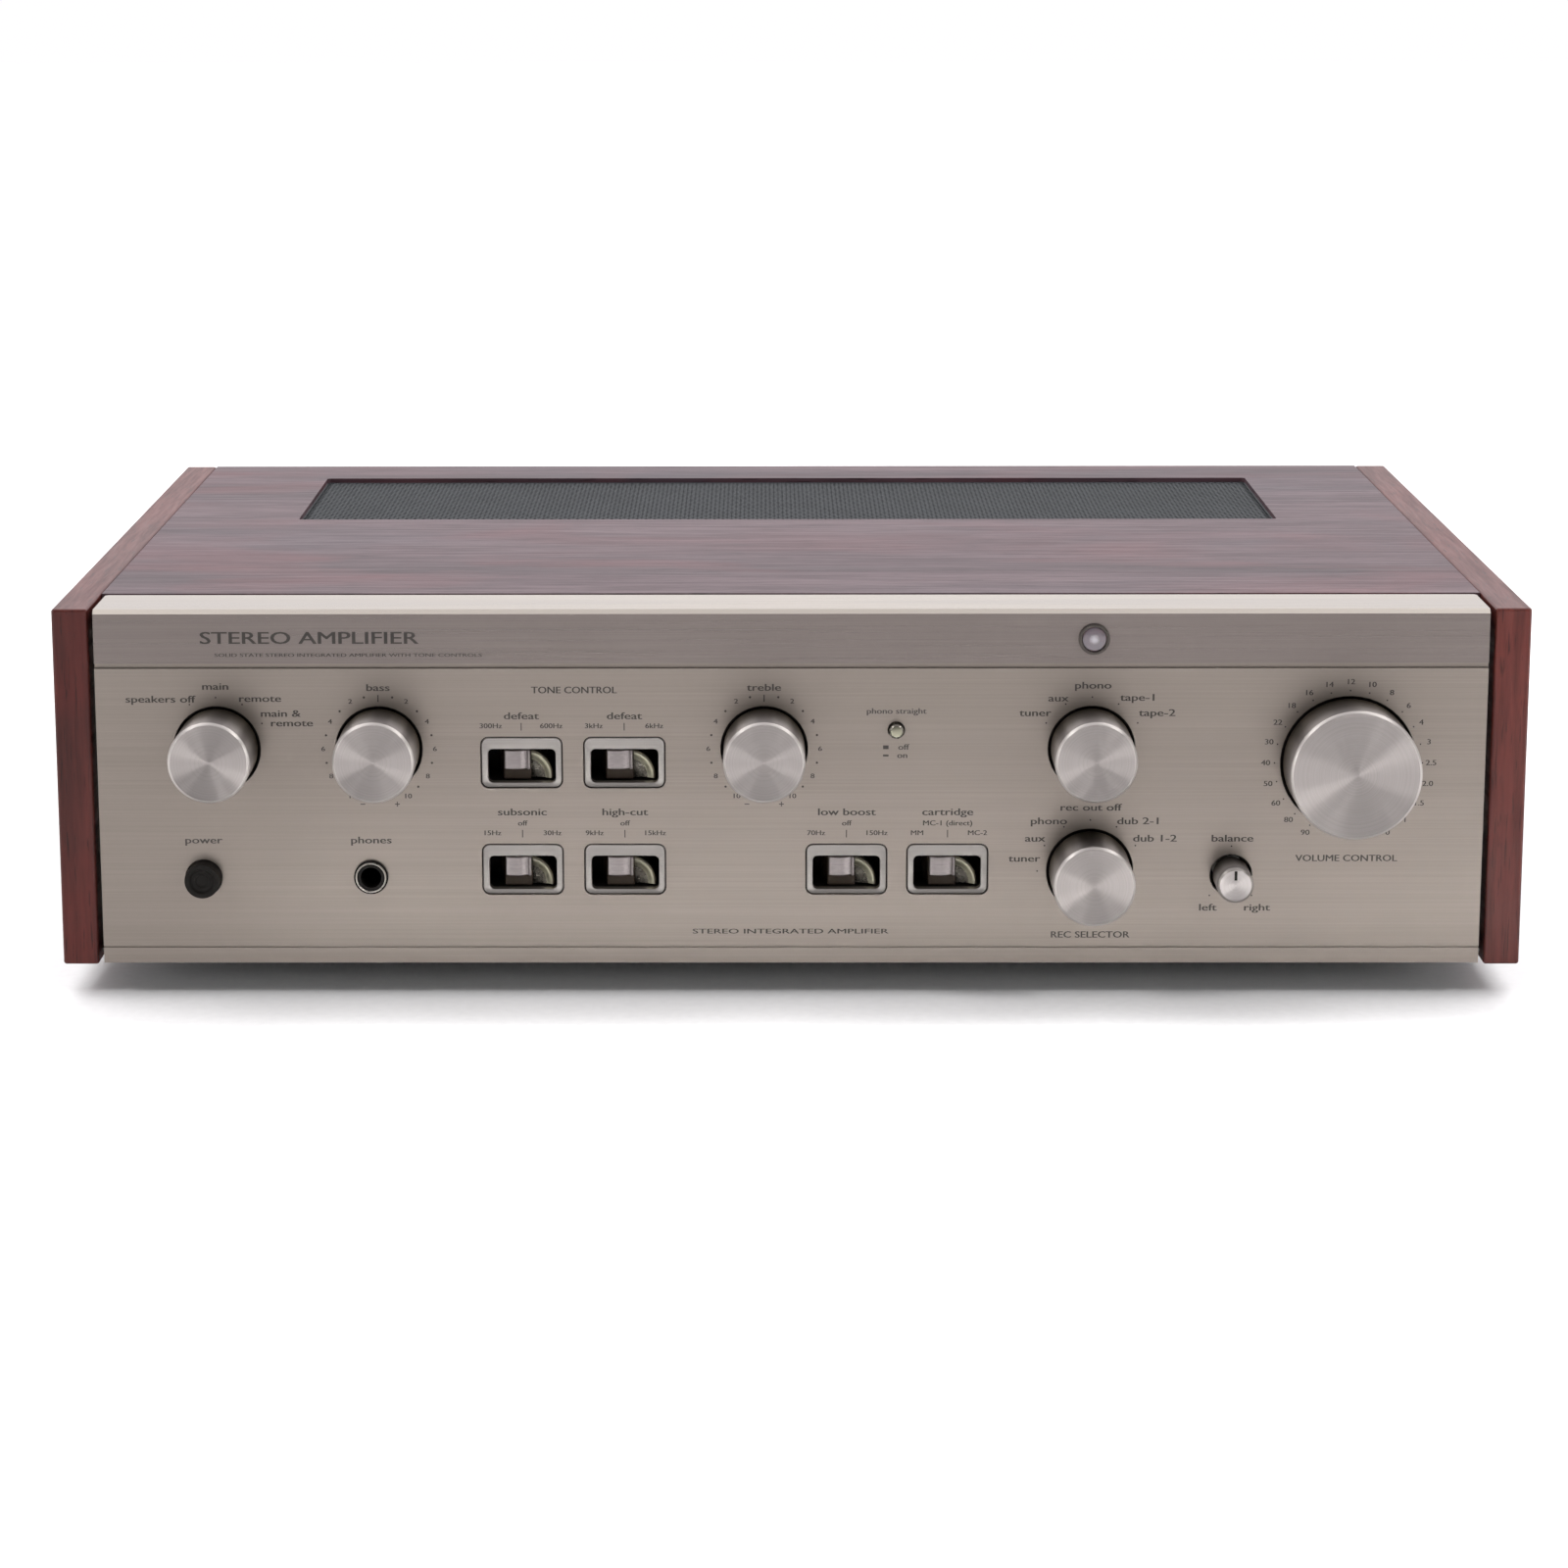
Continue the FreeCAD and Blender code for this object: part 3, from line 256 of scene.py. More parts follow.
def spun(name, dark, light, shade_length=19.5, roughness=0.40, stretch=0.94):
    """Turned aluminium: fine rings, a gloss that stretches across them, and painted shade towards its
    base.

    The side is painted darker over the given length, in millimetres, from the face back to the panel:
    painted shade, darkest at the panel.
    """
    finish = Finish(name, Metallic=1.0, Anisotropic=stretch, Anisotropic_Rotation=0.25)
    radius, along = finish.about_axis()
    flat = finish.node("CombineXYZ", {"X": radius, "Y": along}).outputs["Vector"]
    rings = finish.noise(finish.stretched((3200, 900, 1), source=flat), detail=3, roughness=0.65)
    haze = finish.noise(finish.place, scale=90, detail=2)
    colour = finish.ramp(rings, ((0.3, dark), (0.7, light)))
    colour = finish.mix(finish.spread(haze, 0.3, 0.8, 0, 0.2), colour, dark)
    # Painted shade: the colour darkens from the face back towards the panel.
    reach = finish.maths("MULTIPLY", along, -1 / (shade_length * MM))
    full, part_way, none = (1, 1, 1), (0.72, 0.72, 0.72), (0, 0, 0)
    painted_shade = finish.ramp(reach, ((0.15, full), (0.55, part_way), (0.97, none)))
    shade_tone = (0.050, 0.041, 0.031)
    finish.drive("Base Color", finish.mix(painted_shade, colour, shade_tone))
    finish.drive("Roughness", finish.spread(rings, 0.3, 0.7, roughness - 0.05, roughness + 0.05))
    finish.bump(rings, 0.06, 0.00001)
    finish.spin_direction("Y")
    return finish.material


def rosewood(name, along, dark, middle, light, gloss=0.5, mottle=0.4):
    """Oiled veneer: bands, fine lines, short open pores, and reddish and greyish clouds.

    The grain runs along one axis. Where that is Y, it runs upright on the front and rear edges.
    """
    finish = Finish(name, Coat_Weight=0.4 * gloss, Coat_Roughness=0.25, Specular_IOR_Level=gloss)
    lengthwise = 0.06
    scale = [1.0, 1.0, 1.0]
    scale["XYZ".index(along)] = lengthwise
    body = finish.stretched(tuple(scale))
    if along == "Y":
        edge_on = finish.maths("GREATER_THAN", finish.maths("ABSOLUTE", finish.facing("Y")), 0.7)
        upright = finish.stretched((1.0, 1.0, lengthwise))
        body = finish.mix(edge_on, body, upright, "VECTOR")
    bands = finish.noise(body, scale=26, detail=5, roughness=0.6, distortion=0.9)
    lines = finish.noise(body, scale=420, detail=4, roughness=0.7, distortion=0.2)
    pores = finish.noise(body, scale=1500, detail=2, roughness=0.6)
    cloudy = [1.0, 1.0, 1.0]
    cloudy["XYZ".index(along)] = 0.45
    clouds = finish.stretched(tuple(cloudy))
    patches = finish.noise(clouds, scale=19, detail=3, distortion=0.6)
    cool = finish.noise(clouds, scale=11, detail=2, distortion=0.3)
    colour = finish.ramp(bands, ((0.30, dark), (0.48, middle), (0.72, light)))
    colour = finish.mix(finish.spread(lines, 0.42, 0.62, 0, 0.55), colour, dark)
    redder = tuple(part * tint for part, tint in zip(middle, (1.75, 0.85, 0.80)))
    greyer = tuple(part * tint for part, tint in zip(middle, (0.62, 0.95, 1.05)))
    colour = finish.mix(finish.spread(patches, 0.50, 0.68, 0, mottle), colour, redder)
    colour = finish.mix(finish.spread(cool, 0.50, 0.66, 0, mottle * 0.8), colour, greyer)
    open_pore = finish.spread(pores, 0.60, 0.68, 0, 1)
    pore_tone = tuple(0.3 * part for part in dark)
    colour = finish.mix(finish.maths("MULTIPLY", open_pore, 0.65), colour, pore_tone)
    finish.drive("Base Color", colour)
    finish.drive("Roughness", finish.spread(lines, 0.3, 0.7, 0.34, 0.46))
    low = finish.bump(finish.maths("SUBTRACT", 1.0, open_pore), 0.25, 0.00006)
    finish.bump(lines, 0.10, 0.00005, onto=low)
    return finish.material


def cast(name, colour, roughness, metallic=0.0, grain=700, relief=0.12, spread_by=0.18,
         **settings):
    """A plain finish with fine grain, slight cloudiness and its own relief."""
    finish = Finish(name, Metallic=metallic, **settings)
    fine = finish.noise(finish.place, scale=grain, detail=3, roughness=0.6)
    cloud = finish.noise(finish.place, scale=grain / 25, detail=2)
    low = tuple(part * (1 - spread_by) for part in colour)
    high = tuple(min(1, part * (1 + spread_by)) for part in colour)
    tone = finish.weighed(fine, 0.45, cloud)
    finish.drive("Base Color", finish.ramp(tone, ((0.3, low), (0.7, high))))
    smooth, rough = roughness * 0.85, min(1, roughness * 1.15)
    finish.drive("Roughness", finish.spread(fine, 0.3, 0.7, smooth, rough))
    finish.bump(fine, relief, 0.00004)
    return finish.material


def lamp_glass(name, edge, centre, radius):
    """A pale lens, painted lighter in the middle and darker towards its edge, which is painted light;
    radius in millimetres.
    """
    finish = Finish(name, Subsurface_Weight=0.2, Coat_Weight=0.6)
    from_axis, _ = finish.about_axis()
    out = finish.maths("MULTIPLY", from_axis, 1 / (radius * MM))
    cloud = finish.noise(finish.place, scale=1200, detail=3)
    out = finish.maths("ADD", out, finish.spread(cloud, 0.3, 0.7, -0.08, 0.08))
    # Painted light: the colour runs from light in the middle to dark at the edge.
    finish.drive("Base Color", finish.ramp(out, ((0.15, centre), (0.75, edge))))
    finish.drive("Roughness", finish.spread(cloud, 0.3, 0.7, 0.19, 0.25))
    finish.bump(cloud, 0.03, 0.00004)
    return finish.material


PANEL_METAL = brushed("panel_metal", (0.226, 0.195, 0.169), (0.268, 0.233, 0.205))
# The rail's metal is painted darker than the panel's, a painted shade, and brighter on its upper faces,
# a painted highlight.
SHADED_RAIL_METAL = brushed("rail_painted_shade_and_highlight", (0.166, 0.141, 0.131), (0.216, 0.186, 0.172), 0.30,
                     painted_top_highlight=(0.44, 0.40, 0.355))
BEZEL_METAL = brushed("bezel_metal", (0.215, 0.200, 0.188), (0.265, 0.248, 0.232), 0.42)
KNOB_METAL = spun("knob_metal", (0.272, 0.248, 0.238), (0.327, 0.301, 0.289))
# The rim's finish: its own gloss, and a brighter tone of the knob's metal that is a painted highlight.
RIM_HIGHLIGHT_METAL = spun("knob_rim_painted_highlight", (0.37, 0.345, 0.325), (0.43, 0.40, 0.38), roughness=0.34,
                 stretch=0.3)
SMALL_KNOB_METAL = spun("small_knob_metal", (0.34, 0.315, 0.305), (0.42, 0.39, 0.375),
                        shade_length=11, roughness=0.34)
PAD_METAL = brushed("pad_metal", (0.20, 0.178, 0.175), (0.30, 0.268, 0.262), 0.40)
# The top is the cheeks' rosewood, with a paler, greyer tone in its colours that is a painted sheen.
TOP_WOOD_PAINTED_SHEEN = rosewood("top_wood_painted_sheen", "X", (0.034, 0.018, 0.022), (0.080, 0.044, 0.052),
                    (0.128, 0.079, 0.088), gloss=0.14, mottle=0.38)
CHEEK_WOOD = rosewood("cheek_wood", "Y", (0.026, 0.004, 0.003), (0.078, 0.015, 0.011),
                      (0.125, 0.031, 0.023), gloss=0.22, mottle=0.22)
CHROME = cast("satin_chrome", (0.50, 0.48, 0.47), 0.22, metallic=1.0, grain=900, relief=0.05)
DARK_CHROME = cast("dark_chrome", (0.15, 0.14, 0.12), 0.28, metallic=1.0, grain=900, relief=0.05)
OLIVE_CHROME = cast("olive_chrome", (0.26, 0.25, 0.19), 0.38, metallic=1.0, grain=900, relief=0.05)
RING_METAL = cast("ring_metal", (0.075, 0.066, 0.060), 0.36, metallic=1.0, grain=900, relief=0.05)
NUT_METAL = cast("nut_metal", (0.47, 0.44, 0.40), 0.30, metallic=1.0, grain=900, relief=0.05)
BROWN_PLASTIC = cast("brown_plastic", (0.022, 0.015, 0.010), 0.55, grain=1400, relief=0.1,
                     Specular_IOR_Level=0.12)
LENS = lamp_glass("lamp_lens", (0.135, 0.105, 0.118), (0.42, 0.37, 0.39), 2.3)
BLACK_PLASTIC = cast("black_plastic", (0.008, 0.007, 0.006), 0.42, grain=2200, relief=0.15,
                     Specular_IOR_Level=0.09)
RED_PLASTIC = cast("red_plastic", (0.30, 0.016, 0.012), 0.36, grain=2200, relief=0.12)
DARK_RECESS = cast("dark_recess", (0.018, 0.014, 0.010), 0.7, grain=1500)
BLACK_PAINT = cast("black_paint", (0.030, 0.030, 0.032), 0.42, grain=1800, relief=0.25)
MESH_PAINT = cast("mesh_paint", (0.034, 0.038, 0.042), 0.55, grain=1500, relief=0.2,
                  Specular_IOR_Level=0.2)
ZINC = cast("zinc_plate", (0.56, 0.55, 0.50), 0.30, metallic=1.0, grain=240, relief=0.08)
NICKEL = cast("nickel_plate", (0.66, 0.63, 0.57), 0.2, metallic=1.0, grain=800, relief=0.04)
RUBBER = cast("foot_rubber", (0.022, 0.021, 0.020), 0.75, grain=1600, relief=0.4)
TAPE = cast("winding_tape", (0.52, 0.40, 0.09), 0.45, grain=500)
SLEEVE = cast("capacitor_sleeve", (0.03, 0.07, 0.22), 0.3, grain=300)
LAMINATE = cast("board_laminate", (0.26, 0.17, 0.06), 0.5, grain=900)
INK = cast("printed_ink", (0.020, 0.016, 0.013), 0.6, grain=3000, spread_by=0.3)
PALE_INK = cast("pale_ink", (0.62, 0.62, 0.60), 0.6, grain=3000, spread_by=0.1)

FINISHES = {
    "cabinet_wood": CHEEK_WOOD, "brushed_aluminium": PANEL_METAL, "knob_aluminium": KNOB_METAL,
    "lever_chrome": CHROME, "chrome_trim": CHROME, "lamp_lens": LENS,
    "black_plastic": BLACK_PLASTIC, "black_steel": BLACK_PAINT, "plated_steel": ZINC,
    "foot_rubber": RUBBER, "gold_plate": NICKEL, "core_steel": BLACK_PAINT,
    "winding_tape": TAPE, "capacitor_sleeve": SLEEVE, "black_aluminium": BLACK_PAINT,
    "board_laminate": LAMINATE,
}
SPECIAL = {
    "top_panel": TOP_WOOD_PAINTED_SHEEN, "top_rail": SHADED_RAIL_METAL, "control_carrier": DARK_RECESS,
    "lever_housings": DARK_RECESS, "spacer_posts": DARK_RECESS, "control_nuts": DARK_RECESS,
    "headphone_nut": DARK_CHROME,
}


def finish_packed_parts():
    """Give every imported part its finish."""
    slots = {item["node"]: item["material_slot"] for item in frame["record"]["subparts"]}
    for name, node in nodes.items():
        material = SPECIAL.get(name, FINISHES[slots[name]])
        if not node.material_slots:
            node.data.materials.append(material)
        for slot in node.material_slots:
            slot.material = material


# ---------------------------------------------------------------- making pieces

def new_piece(name, shape, materials, body="chassis", replaced=(), place=(0, 0, 0)):
    """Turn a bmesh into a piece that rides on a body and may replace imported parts."""
    mesh = bpy.data.meshes.new(name)
    bmesh.ops.recalc_face_normals(shape, faces=shape.faces)
    shape.to_mesh(mesh)
    shape.free()
    for material in materials:
        mesh.materials.append(material)
    mesh.shade_smooth()
    mesh.set_sharp_from_angle(angle=math.radians(32))
    piece = bpy.data.objects.new(name, mesh)
    piece.location = place
    bpy.context.scene.collection.objects.link(piece)
    bpy.context.view_layer.update()
    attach(piece, body)
    if replaced:
        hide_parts(*replaced)


def band(shape, first, second, material=0):
    """Faces between two closed rows of points."""
    for index in range(len(first)):
        after = (index + 1) % len(first)
        face = shape.faces.new((first[index], first[after], second[after], second[index]))
        face.material_index = material


def frame_bars(low, high, width):
    """Corners of the four bars round a rectangle: front, rear, left and right."""
    return (((low.x, low.y), (high.x, low.y + width)), ((low.x, high.y - width), (high.x, high.y)),
            ((low.x, low.y + width), (low.x + width, high.y - width)),
            ((high.x - width, low.y + width), (high.x, high.y - width)))


def round_size(node):
    """Radius and front-to-back length of a round part, in millimetres."""
    low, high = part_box(node)
    return (high.x - low.x) / 2 / MM, (high.y - low.y) / MM


def back_middle(node):
    """Middle of a part's rear end, where its turned piece has its origin."""
    return centre_of(node).x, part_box(node)[1].y, centre_of(node).z


def lathe(shape, profile, segments=96, material=0, centre=(0, 0, 0), grip=0.0):
    """Add a turned solid: pairs of radius and distance towards the front, in millimetres.

    A grip above 0 sinks that share of the radius along every other flute.
    """
    rows = []
    for radius, reach in profile:
        if radius < 1e-6:
            rows.append([shape.verts.new((centre[0], centre[1] - reach * MM, centre[2]))])
            continue
        row = []
        for step in range(segments):
            angle = 2 * math.pi * step / segments
            fluted = radius * MM * (1 - grip * (step // 2 % 2))
            row.append(shape.verts.new((centre[0] + fluted * math.cos(angle),
                                        centre[1] - reach * MM,
                                        centre[2] + fluted * math.sin(angle))))
        rows.append(row)
    closed = profile[0][0] > 1e-6
    pairs = list(zip(rows, rows[1:]))
    if closed:
        pairs.append((rows[-1], rows[0]))
    for first, second in pairs:
        for step in range(segments):
            after = (step + 1) % segments
            corners = [first[step % len(first)], first[after % len(first)],
                       second[after % len(second)], second[step % len(second)]]
            unique = list(dict.fromkeys(corners))
            if len(unique) > 2:
                shape.faces.new(unique).material_index = material


def eased(corners, ease, steps=4):
    """Round the marked corners of a profile: each becomes a short arc."""
    result = []
    for index, (radius, reach, rounded) in enumerate(corners):
        point = Vector((radius, reach))
        if not rounded:
            result.append((radius, reach))
            continue
        before = Vector(corners[index - 1][:2])
        after = Vector(corners[(index + 1) % len(corners)][:2])
        start = point + (before - point).normalized() * ease
        end = point + (after - point).normalized() * ease
        for step in range(steps + 1):
            along = step / steps
            blended = start.lerp(point, along).lerp(point.lerp(end, along), along)
            result.append((blended.x, blended.y))
    return result


def rounded_block(shape, low, high, ease, material=0, segments=3):
    """Add a box with eased edges between two corners, in metres."""
    size = Vector(high) - Vector(low)
    middle = (Vector(high) + Vector(low)) / 2
    matrix = Matrix.Translation(middle) @ Matrix.Diagonal((*size, 1))
    made = bmesh.ops.create_cube(shape, size=1, matrix=matrix)
    faces = dict.fromkeys(face for vert in made["verts"] for face in vert.link_faces)
    edges = dict.fromkeys(edge for face in faces for edge in face.edges)
    for face in faces:
        face.material_index = material
    bmesh.ops.bevel(shape, geom=list(edges), offset=ease, segments=segments, profile=0.5,
                    affect="EDGES", material=material, clamp_overlap=True)


def make_knobs():
    """Seven turned knobs: a bevelled rim, a slightly dished spun face and a bored back."""
    bevel = 0.8
    rim_depth = bevel + 1.3
    web = 5.8
    for name in KNOBS:
        node = f"{name}_knob"
        radius, reach = round_size(node)
        bore, metal = (2.2, SMALL_KNOB_METAL) if name == "balance" else (3.2, KNOB_METAL)
        outside = eased((
            (bore, 0, False), (radius - 0.25, 0, True), (radius, 0.4, False),
            (radius, reach - bevel, True), (radius - bevel, reach, True),
            (radius - bevel - 0.25, reach - 0.06, False)), 0.12)
        face = [(radius - bevel - 0.6, reach - 0.10), (0, reach - 0.14)]
        inside = [(0, reach - web), (bore, reach - web)]
        shape = bmesh.new()
        lathe(shape, outside + face + inside, 160)
        # The bevel takes the rim's brighter finish: a painted highlight.
        for side in shape.faces:
            at = side.calc_center_median() / MM
            if -at.y > reach - rim_depth and math.hypot(at.x, at.z) > radius - bevel:
                side.material_index = 1
        new_piece(f"{name}_turned_knob", shape, [metal, RIM_HIGHLIGHT_METAL], f"{name}_control", [node],
                  back_middle(node))


def make_balance_notch():
    """The dark pointer let into the balance knob's face."""
    middle = centre_of("balance_knob")
    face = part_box("balance_knob")[0].y
    half_wide, start, end = 0.45 * MM, 1.6 * MM, 4.6 * MM
    shape = bmesh.new()
    rounded_block(shape, (middle.x - half_wide, face + 0.02 * MM, middle.z + start),
                  (middle.x + half_wide, face + 1 * MM, middle.z + end), 0.12 * MM, 0, 2)
    new_piece("balance_notch", shape, [BLACK_PLASTIC], "balance_control")


def make_levers():
    """Six levers: a satin thumb pad on a brown block, the curved rib and the drum behind."""
    pad_start, pad_tall = 2.0 * MM, 5.9 * MM
    block_wide, block_back = 8.2 * MM, 9 * MM
    for name in LEVERS:
        node = f"{name}_lever"
        low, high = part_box(node)
        shape = bmesh.new()
        left = low.x + pad_start
        front = low.y
        add_pad(shape, left, front, high.z - pad_tall, high.z)
        rounded_block(shape, (left - 0.3 * MM, front + 2.2 * MM, low.z),
                      (left + block_wide, front + block_back, high.z - 0.6 * MM), 0.5 * MM, 1)
        add_rib(shape, left + 7.6 * MM, front + 3.4 * MM, low.z, high.z - 0.7 * MM)
        add_drum(shape, low, high)
        new_piece(f"{name}_thumb_lever", shape, [PAD_METAL, BROWN_PLASTIC, OLIVE_CHROME, DARK_CHROME],
                  f"{name}_switch", [node])


def add_pad(shape, left, front, low, high):
    """The satin pad: a crown that falls away to the left, a hollow and an upright lip."""
    outline = ((0.0, 1.1), (0.35, 0.55), (1.2, 0.22), (2.4, 0.06), (3.6, 0.0), (4.8, 0.14),
               (5.7, 0.5), (6.5, 1.0), (6.9, 1.05), (7.2, 0.35), (7.5, 0.1), (7.8, 0.2), (8.0, 0.6))
    depth = 4.0
    ease = 0.25
    rows = []
    for z, pull in ((low, ease), (low + ease * MM, 0), (high - ease * MM, 0), (high, ease)):
        row = [shape.verts.new((left + x * MM, front + (y + pull) * MM, z)) for x, y in outline]
        row.append(shape.verts.new((left + outline[-1][0] * MM, front + depth * MM, z)))
        row.append(shape.verts.new((left, front + depth * MM, z)))
        rows.append(row)
    for first, second in zip(rows, rows[1:]):
        band(shape, first, second)
    shape.faces.new(rows[0])
    shape.faces.new(rows[-1])


def add_rib(shape, left, front, low, high):
    """A quarter-round fin: a hollow dark cheek and an olive rim that drops to the right, a shaded and a
    lit tone of one metal: painted shade and painted highlight.
    """
    wide, tall = 7.3 * MM, high - low
    steps = 20
    # Material 3 is the dark cheek, painted shade, and material 2 the olive rim, a painted highlight.
    section = ((0.02, 2.2, 3), (0.40, 1.7, 3), (0.66, 1.1, 2), (0.78, 0.55, 2), (0.86, 0.12, 2),
               (0.93, 0.0, 2), (1.0, 0.3, 2), (1.0, 4.6, 1), (0.02, 4.6, 1))
    rings = []
    for step in range(steps + 1):
        angle = math.radians(90 * step / steps)
        rings.append([shape.verts.new((left + wide * scale * math.cos(angle), front + back * MM,
                                       low + tall * scale * math.sin(angle)))
                      for scale, back, _ in section])
    for first, second in zip(rings, rings[1:]):
        for index, (_, _, material) in enumerate(section):
            after = (index + 1) % len(section)
            face = shape.faces.new((first[index], first[after], second[after], second[index]))
            face.material_index = material
    for ring in (rings[0], rings[-1]):
        shape.faces.new(ring).material_index = 1


def add_drum(shape, low, high):
    """The round body that the lever turns with, set back inside its housing."""
    radius = 7.4 * MM
    centre = (low.x + radius, high.y - radius, (low.z + high.z) / 2)
    made = bmesh.ops.create_cone(shape, cap_ends=True, segments=64, radius1=radius, radius2=radius,
                                 depth=high.z - low.z, matrix=Matrix.Translation(centre))
    for face in {face for vert in made["verts"] for face in vert.link_faces}:
        face.material_index = 1


def rounded_outline(wide, tall, radius, steps=6):
    """Points round a rectangle with round corners, about the origin, in millimetres."""
    points = []
    for right, up, start in ((1, 1, 0), (-1, 1, 90), (-1, -1, 180), (1, -1, 270)):
        for step in range(steps + 1):
            angle = math.radians(start + 90 * step / steps)
            points.append((right * (wide / 2 - radius) + radius * math.cos(angle),
                           up * (tall / 2 - radius) + radius * math.sin(angle)))
    return points


def make_bezels():
    """A dished metal frame in each lever window, with a dark joint round it.

    A section's rows are width, height, corner radius, distance behind the panel's face, and
    distance below the window's middle.
    """
    wide, tall = 24.6, 15.5
    open_wide, open_tall = 20.8, 10.6
    drop = WINDOW_RAISE
    section = (
        (wide, tall, 2.1, 1.15, 0), (wide, tall, 2.1, 0.30, 0), (wide - 0.3, tall - 0.3, 2.0, 0.14, 0),
        (open_wide + 0.3, open_tall + 0.3, 1.6, 0.75, drop), (open_wide, open_tall, 1.5, 0.95, drop),
        (open_wide, open_tall, 1.5, 1.15, drop))
    joint_section = ((25.4, 16.3, 2.4, 1.1, 0), (24.4, 15.3, 2.4, 1.1, 0))
    frames, joints = bmesh.new(), bmesh.new()
    for name in LEVERS:
        rows = window_rows(frames, name, section)
        for first, second in zip(rows, rows[1:] + rows[:1]):
            band(frames, first, second)
        band(joints, *window_rows(joints, name, joint_section))
    new_piece("lever_bezels", frames, [BEZEL_METAL])
    new_piece("bezel_joints", joints, [DARK_RECESS])


def window_rows(shape, name, section):
    """Closed rows of points round a lever's window, one for each row of a section."""
    x, z = window_middle(name)
    return [[shape.verts.new((x + a * MM, PANEL_FACE + back * MM, z + (b - fall) * MM))
             for a, b in rounded_outline(wide, tall, radius)]
            for wide, tall, radius, back, fall in section]


def make_buttons():
    """The dished power button and the small round phono button."""
    radius, reach = round_size("power_button")
    shape = bmesh.new()
    lathe(shape, eased((
        (0, 0, False), (radius, 0, False), (radius, reach, True), (radius - 1.5, reach, True),
        (radius - 2.0, reach - 0.9, True), (2.2, reach - 0.75, True), (1.9, reach - 1.2, True),
        (0, reach - 1.25, False)), 0.22), 96)
    new_piece("power_push_cap", shape, [BLACK_PLASTIC], "power_push", ["power_button"],
              back_middle("power_button"))
    radius, reach = round_size("phono_button")
    shape = bmesh.new()
    lathe(shape, eased(((0, 0, False), (radius, 0, False), (radius, reach - 0.5, True),
                        (radius - 0.55, reach - 0.1, False)), 0.2), 64, 1)
    lathe(shape, [(0, reach - 1), (radius - 0.6, reach - 1), (radius - 0.6, reach - 0.15),
                  (radius - 1.1, reach), (0, reach)], 64)
    new_piece("phono_push_cap", shape, [OLIVE_CHROME, DARK_CHROME], "phono_push", ["phono_button"],
              back_middle("phono_button"))


def make_socket_nut():
    """The headphone socket's ring nut: a black foot under a bright bevelled ring."""
    outer, tall = round_size("headphone_nut")
    inner = outer - 1.0
    foot = 1.05
    shape = bmesh.new()
    lathe(shape, [(inner, 0), (outer, 0), (outer, 0.9), (outer - 0.25, foot), (inner, foot)], 96, 1)
    lathe(shape, [(inner, foot), (outer - 0.5, foot), (outer - 0.55, 1.4), (outer - 0.7, tall),
                  (inner + 0.15, tall), (inner, tall - 0.15)], 96)
    new_piece("phones_ring_nut", shape, [NUT_METAL, BLACK_PLASTIC], "chassis", ["headphone_nut"],
              back_middle("headphone_nut"))


def make_lamp():
    """The pilot lamp: a stepped ring round a low pale dome."""
    outer, _ = round_size("pilot_lamp_ring")
    lens = outer - 1.05
    proud = (PANEL_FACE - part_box("pilot_lamp_ring")[0].y) / MM
    place = (centre_of("pilot_lamp_ring").x, PANEL_FACE, centre_of("pilot_lamp_ring").z)
    shape = bmesh.new()
    lathe(shape, eased((
        (outer - 1.0, -5, False), (outer - 0.55, -5, False), (outer - 0.55, 0.02, False),
        (outer, 0.02, False), (outer, proud - 0.1, True), (outer - 1.0, proud - 0.1, True)), 0.25), 96)
    new_piece("pilot_ring", shape, [RING_METAL], "chassis", ["pilot_lamp_ring"], place)
    dome = [(0, -12), (2.5, -12), (2.5, -5), (lens, -5), (lens, 0.3)]
    steps = 8
    for step in range(1, steps):
        angle = math.radians(90 * step / steps)
        dome.append((lens * math.cos(angle), 0.3 + 0.6 * math.sin(angle)))
    dome.append((0, 0.9))
    shape = bmesh.new()
    lathe(shape, dome, 96)
    new_piece("pilot_lens", shape, [LENS], "chassis", ["pilot_lamp_lens"], place)


def make_vent_mesh():
    """Perforated steel: a sheet of diamond holes in staggered rows, in a frame with a black lip."""
    low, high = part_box("vent_mesh")
    sheet_top = low.z + 1.0 * MM
    sheet_thick = 0.7 * MM
    pitch_x, pitch_y = 3.0 * MM, 1.5 * MM
    bar = 0.30
    margin, rim, lip = 10 * MM, 6.2 * MM, 1.0 * MM
    middle = (low + high) / 2
    shape = bmesh.new()
    columns = int((high.x - low.x - margin) / pitch_x)
    rows = int((high.y - low.y - margin) / pitch_y)
    corners = {}

    def vert(x, y):
        """The sheet's point at x and y, shared by the diamonds that meet there."""
        key = (round(x * 1e7), round(y * 1e7))
        if key not in corners:
            corners[key] = shape.verts.new((x, y, sheet_top))
        return corners[key]

    for row in range(rows):
        for column in range(columns - row % 2):
            x = middle.x + (column - (columns - 1 - row % 2) / 2) * pitch_x
            y = middle.y + (row - (rows - 1) / 2) * pitch_y
            outer = ((x + pitch_x / 2, y), (x, y + pitch_y), (x - pitch_x / 2, y), (x, y - pitch_y))
            inner = [((a - x) * (1 - bar) + x, (b - y) * (1 - bar) + y) for a, b in outer]
            for side in range(4):
                after = (side + 1) % 4
                shape.faces.new((vert(*outer[side]), vert(*outer[after]),
                                 vert(*inner[after]), vert(*inner[side])))
    made = bmesh.ops.extrude_face_region(shape, geom=list(shape.faces))
    for item in made["geom"]:
        if isinstance(item, bmesh.types.BMVert):
            item.co.z -= sheet_thick
    for start, end in frame_bars(low, high, rim):
        rounded_block(shape, (*start, low.z), (*end, sheet_top), 0.1 * MM, 0, 1)
    for start, end in frame_bars(low, high, lip):
        rounded_block(shape, (*start, sheet_top), (*end, high.z), 0.25 * MM, 1, 2)
    new_piece("vent_grille", shape, [MESH_PAINT, BLACK_PAINT], "chassis", ["vent_mesh"])


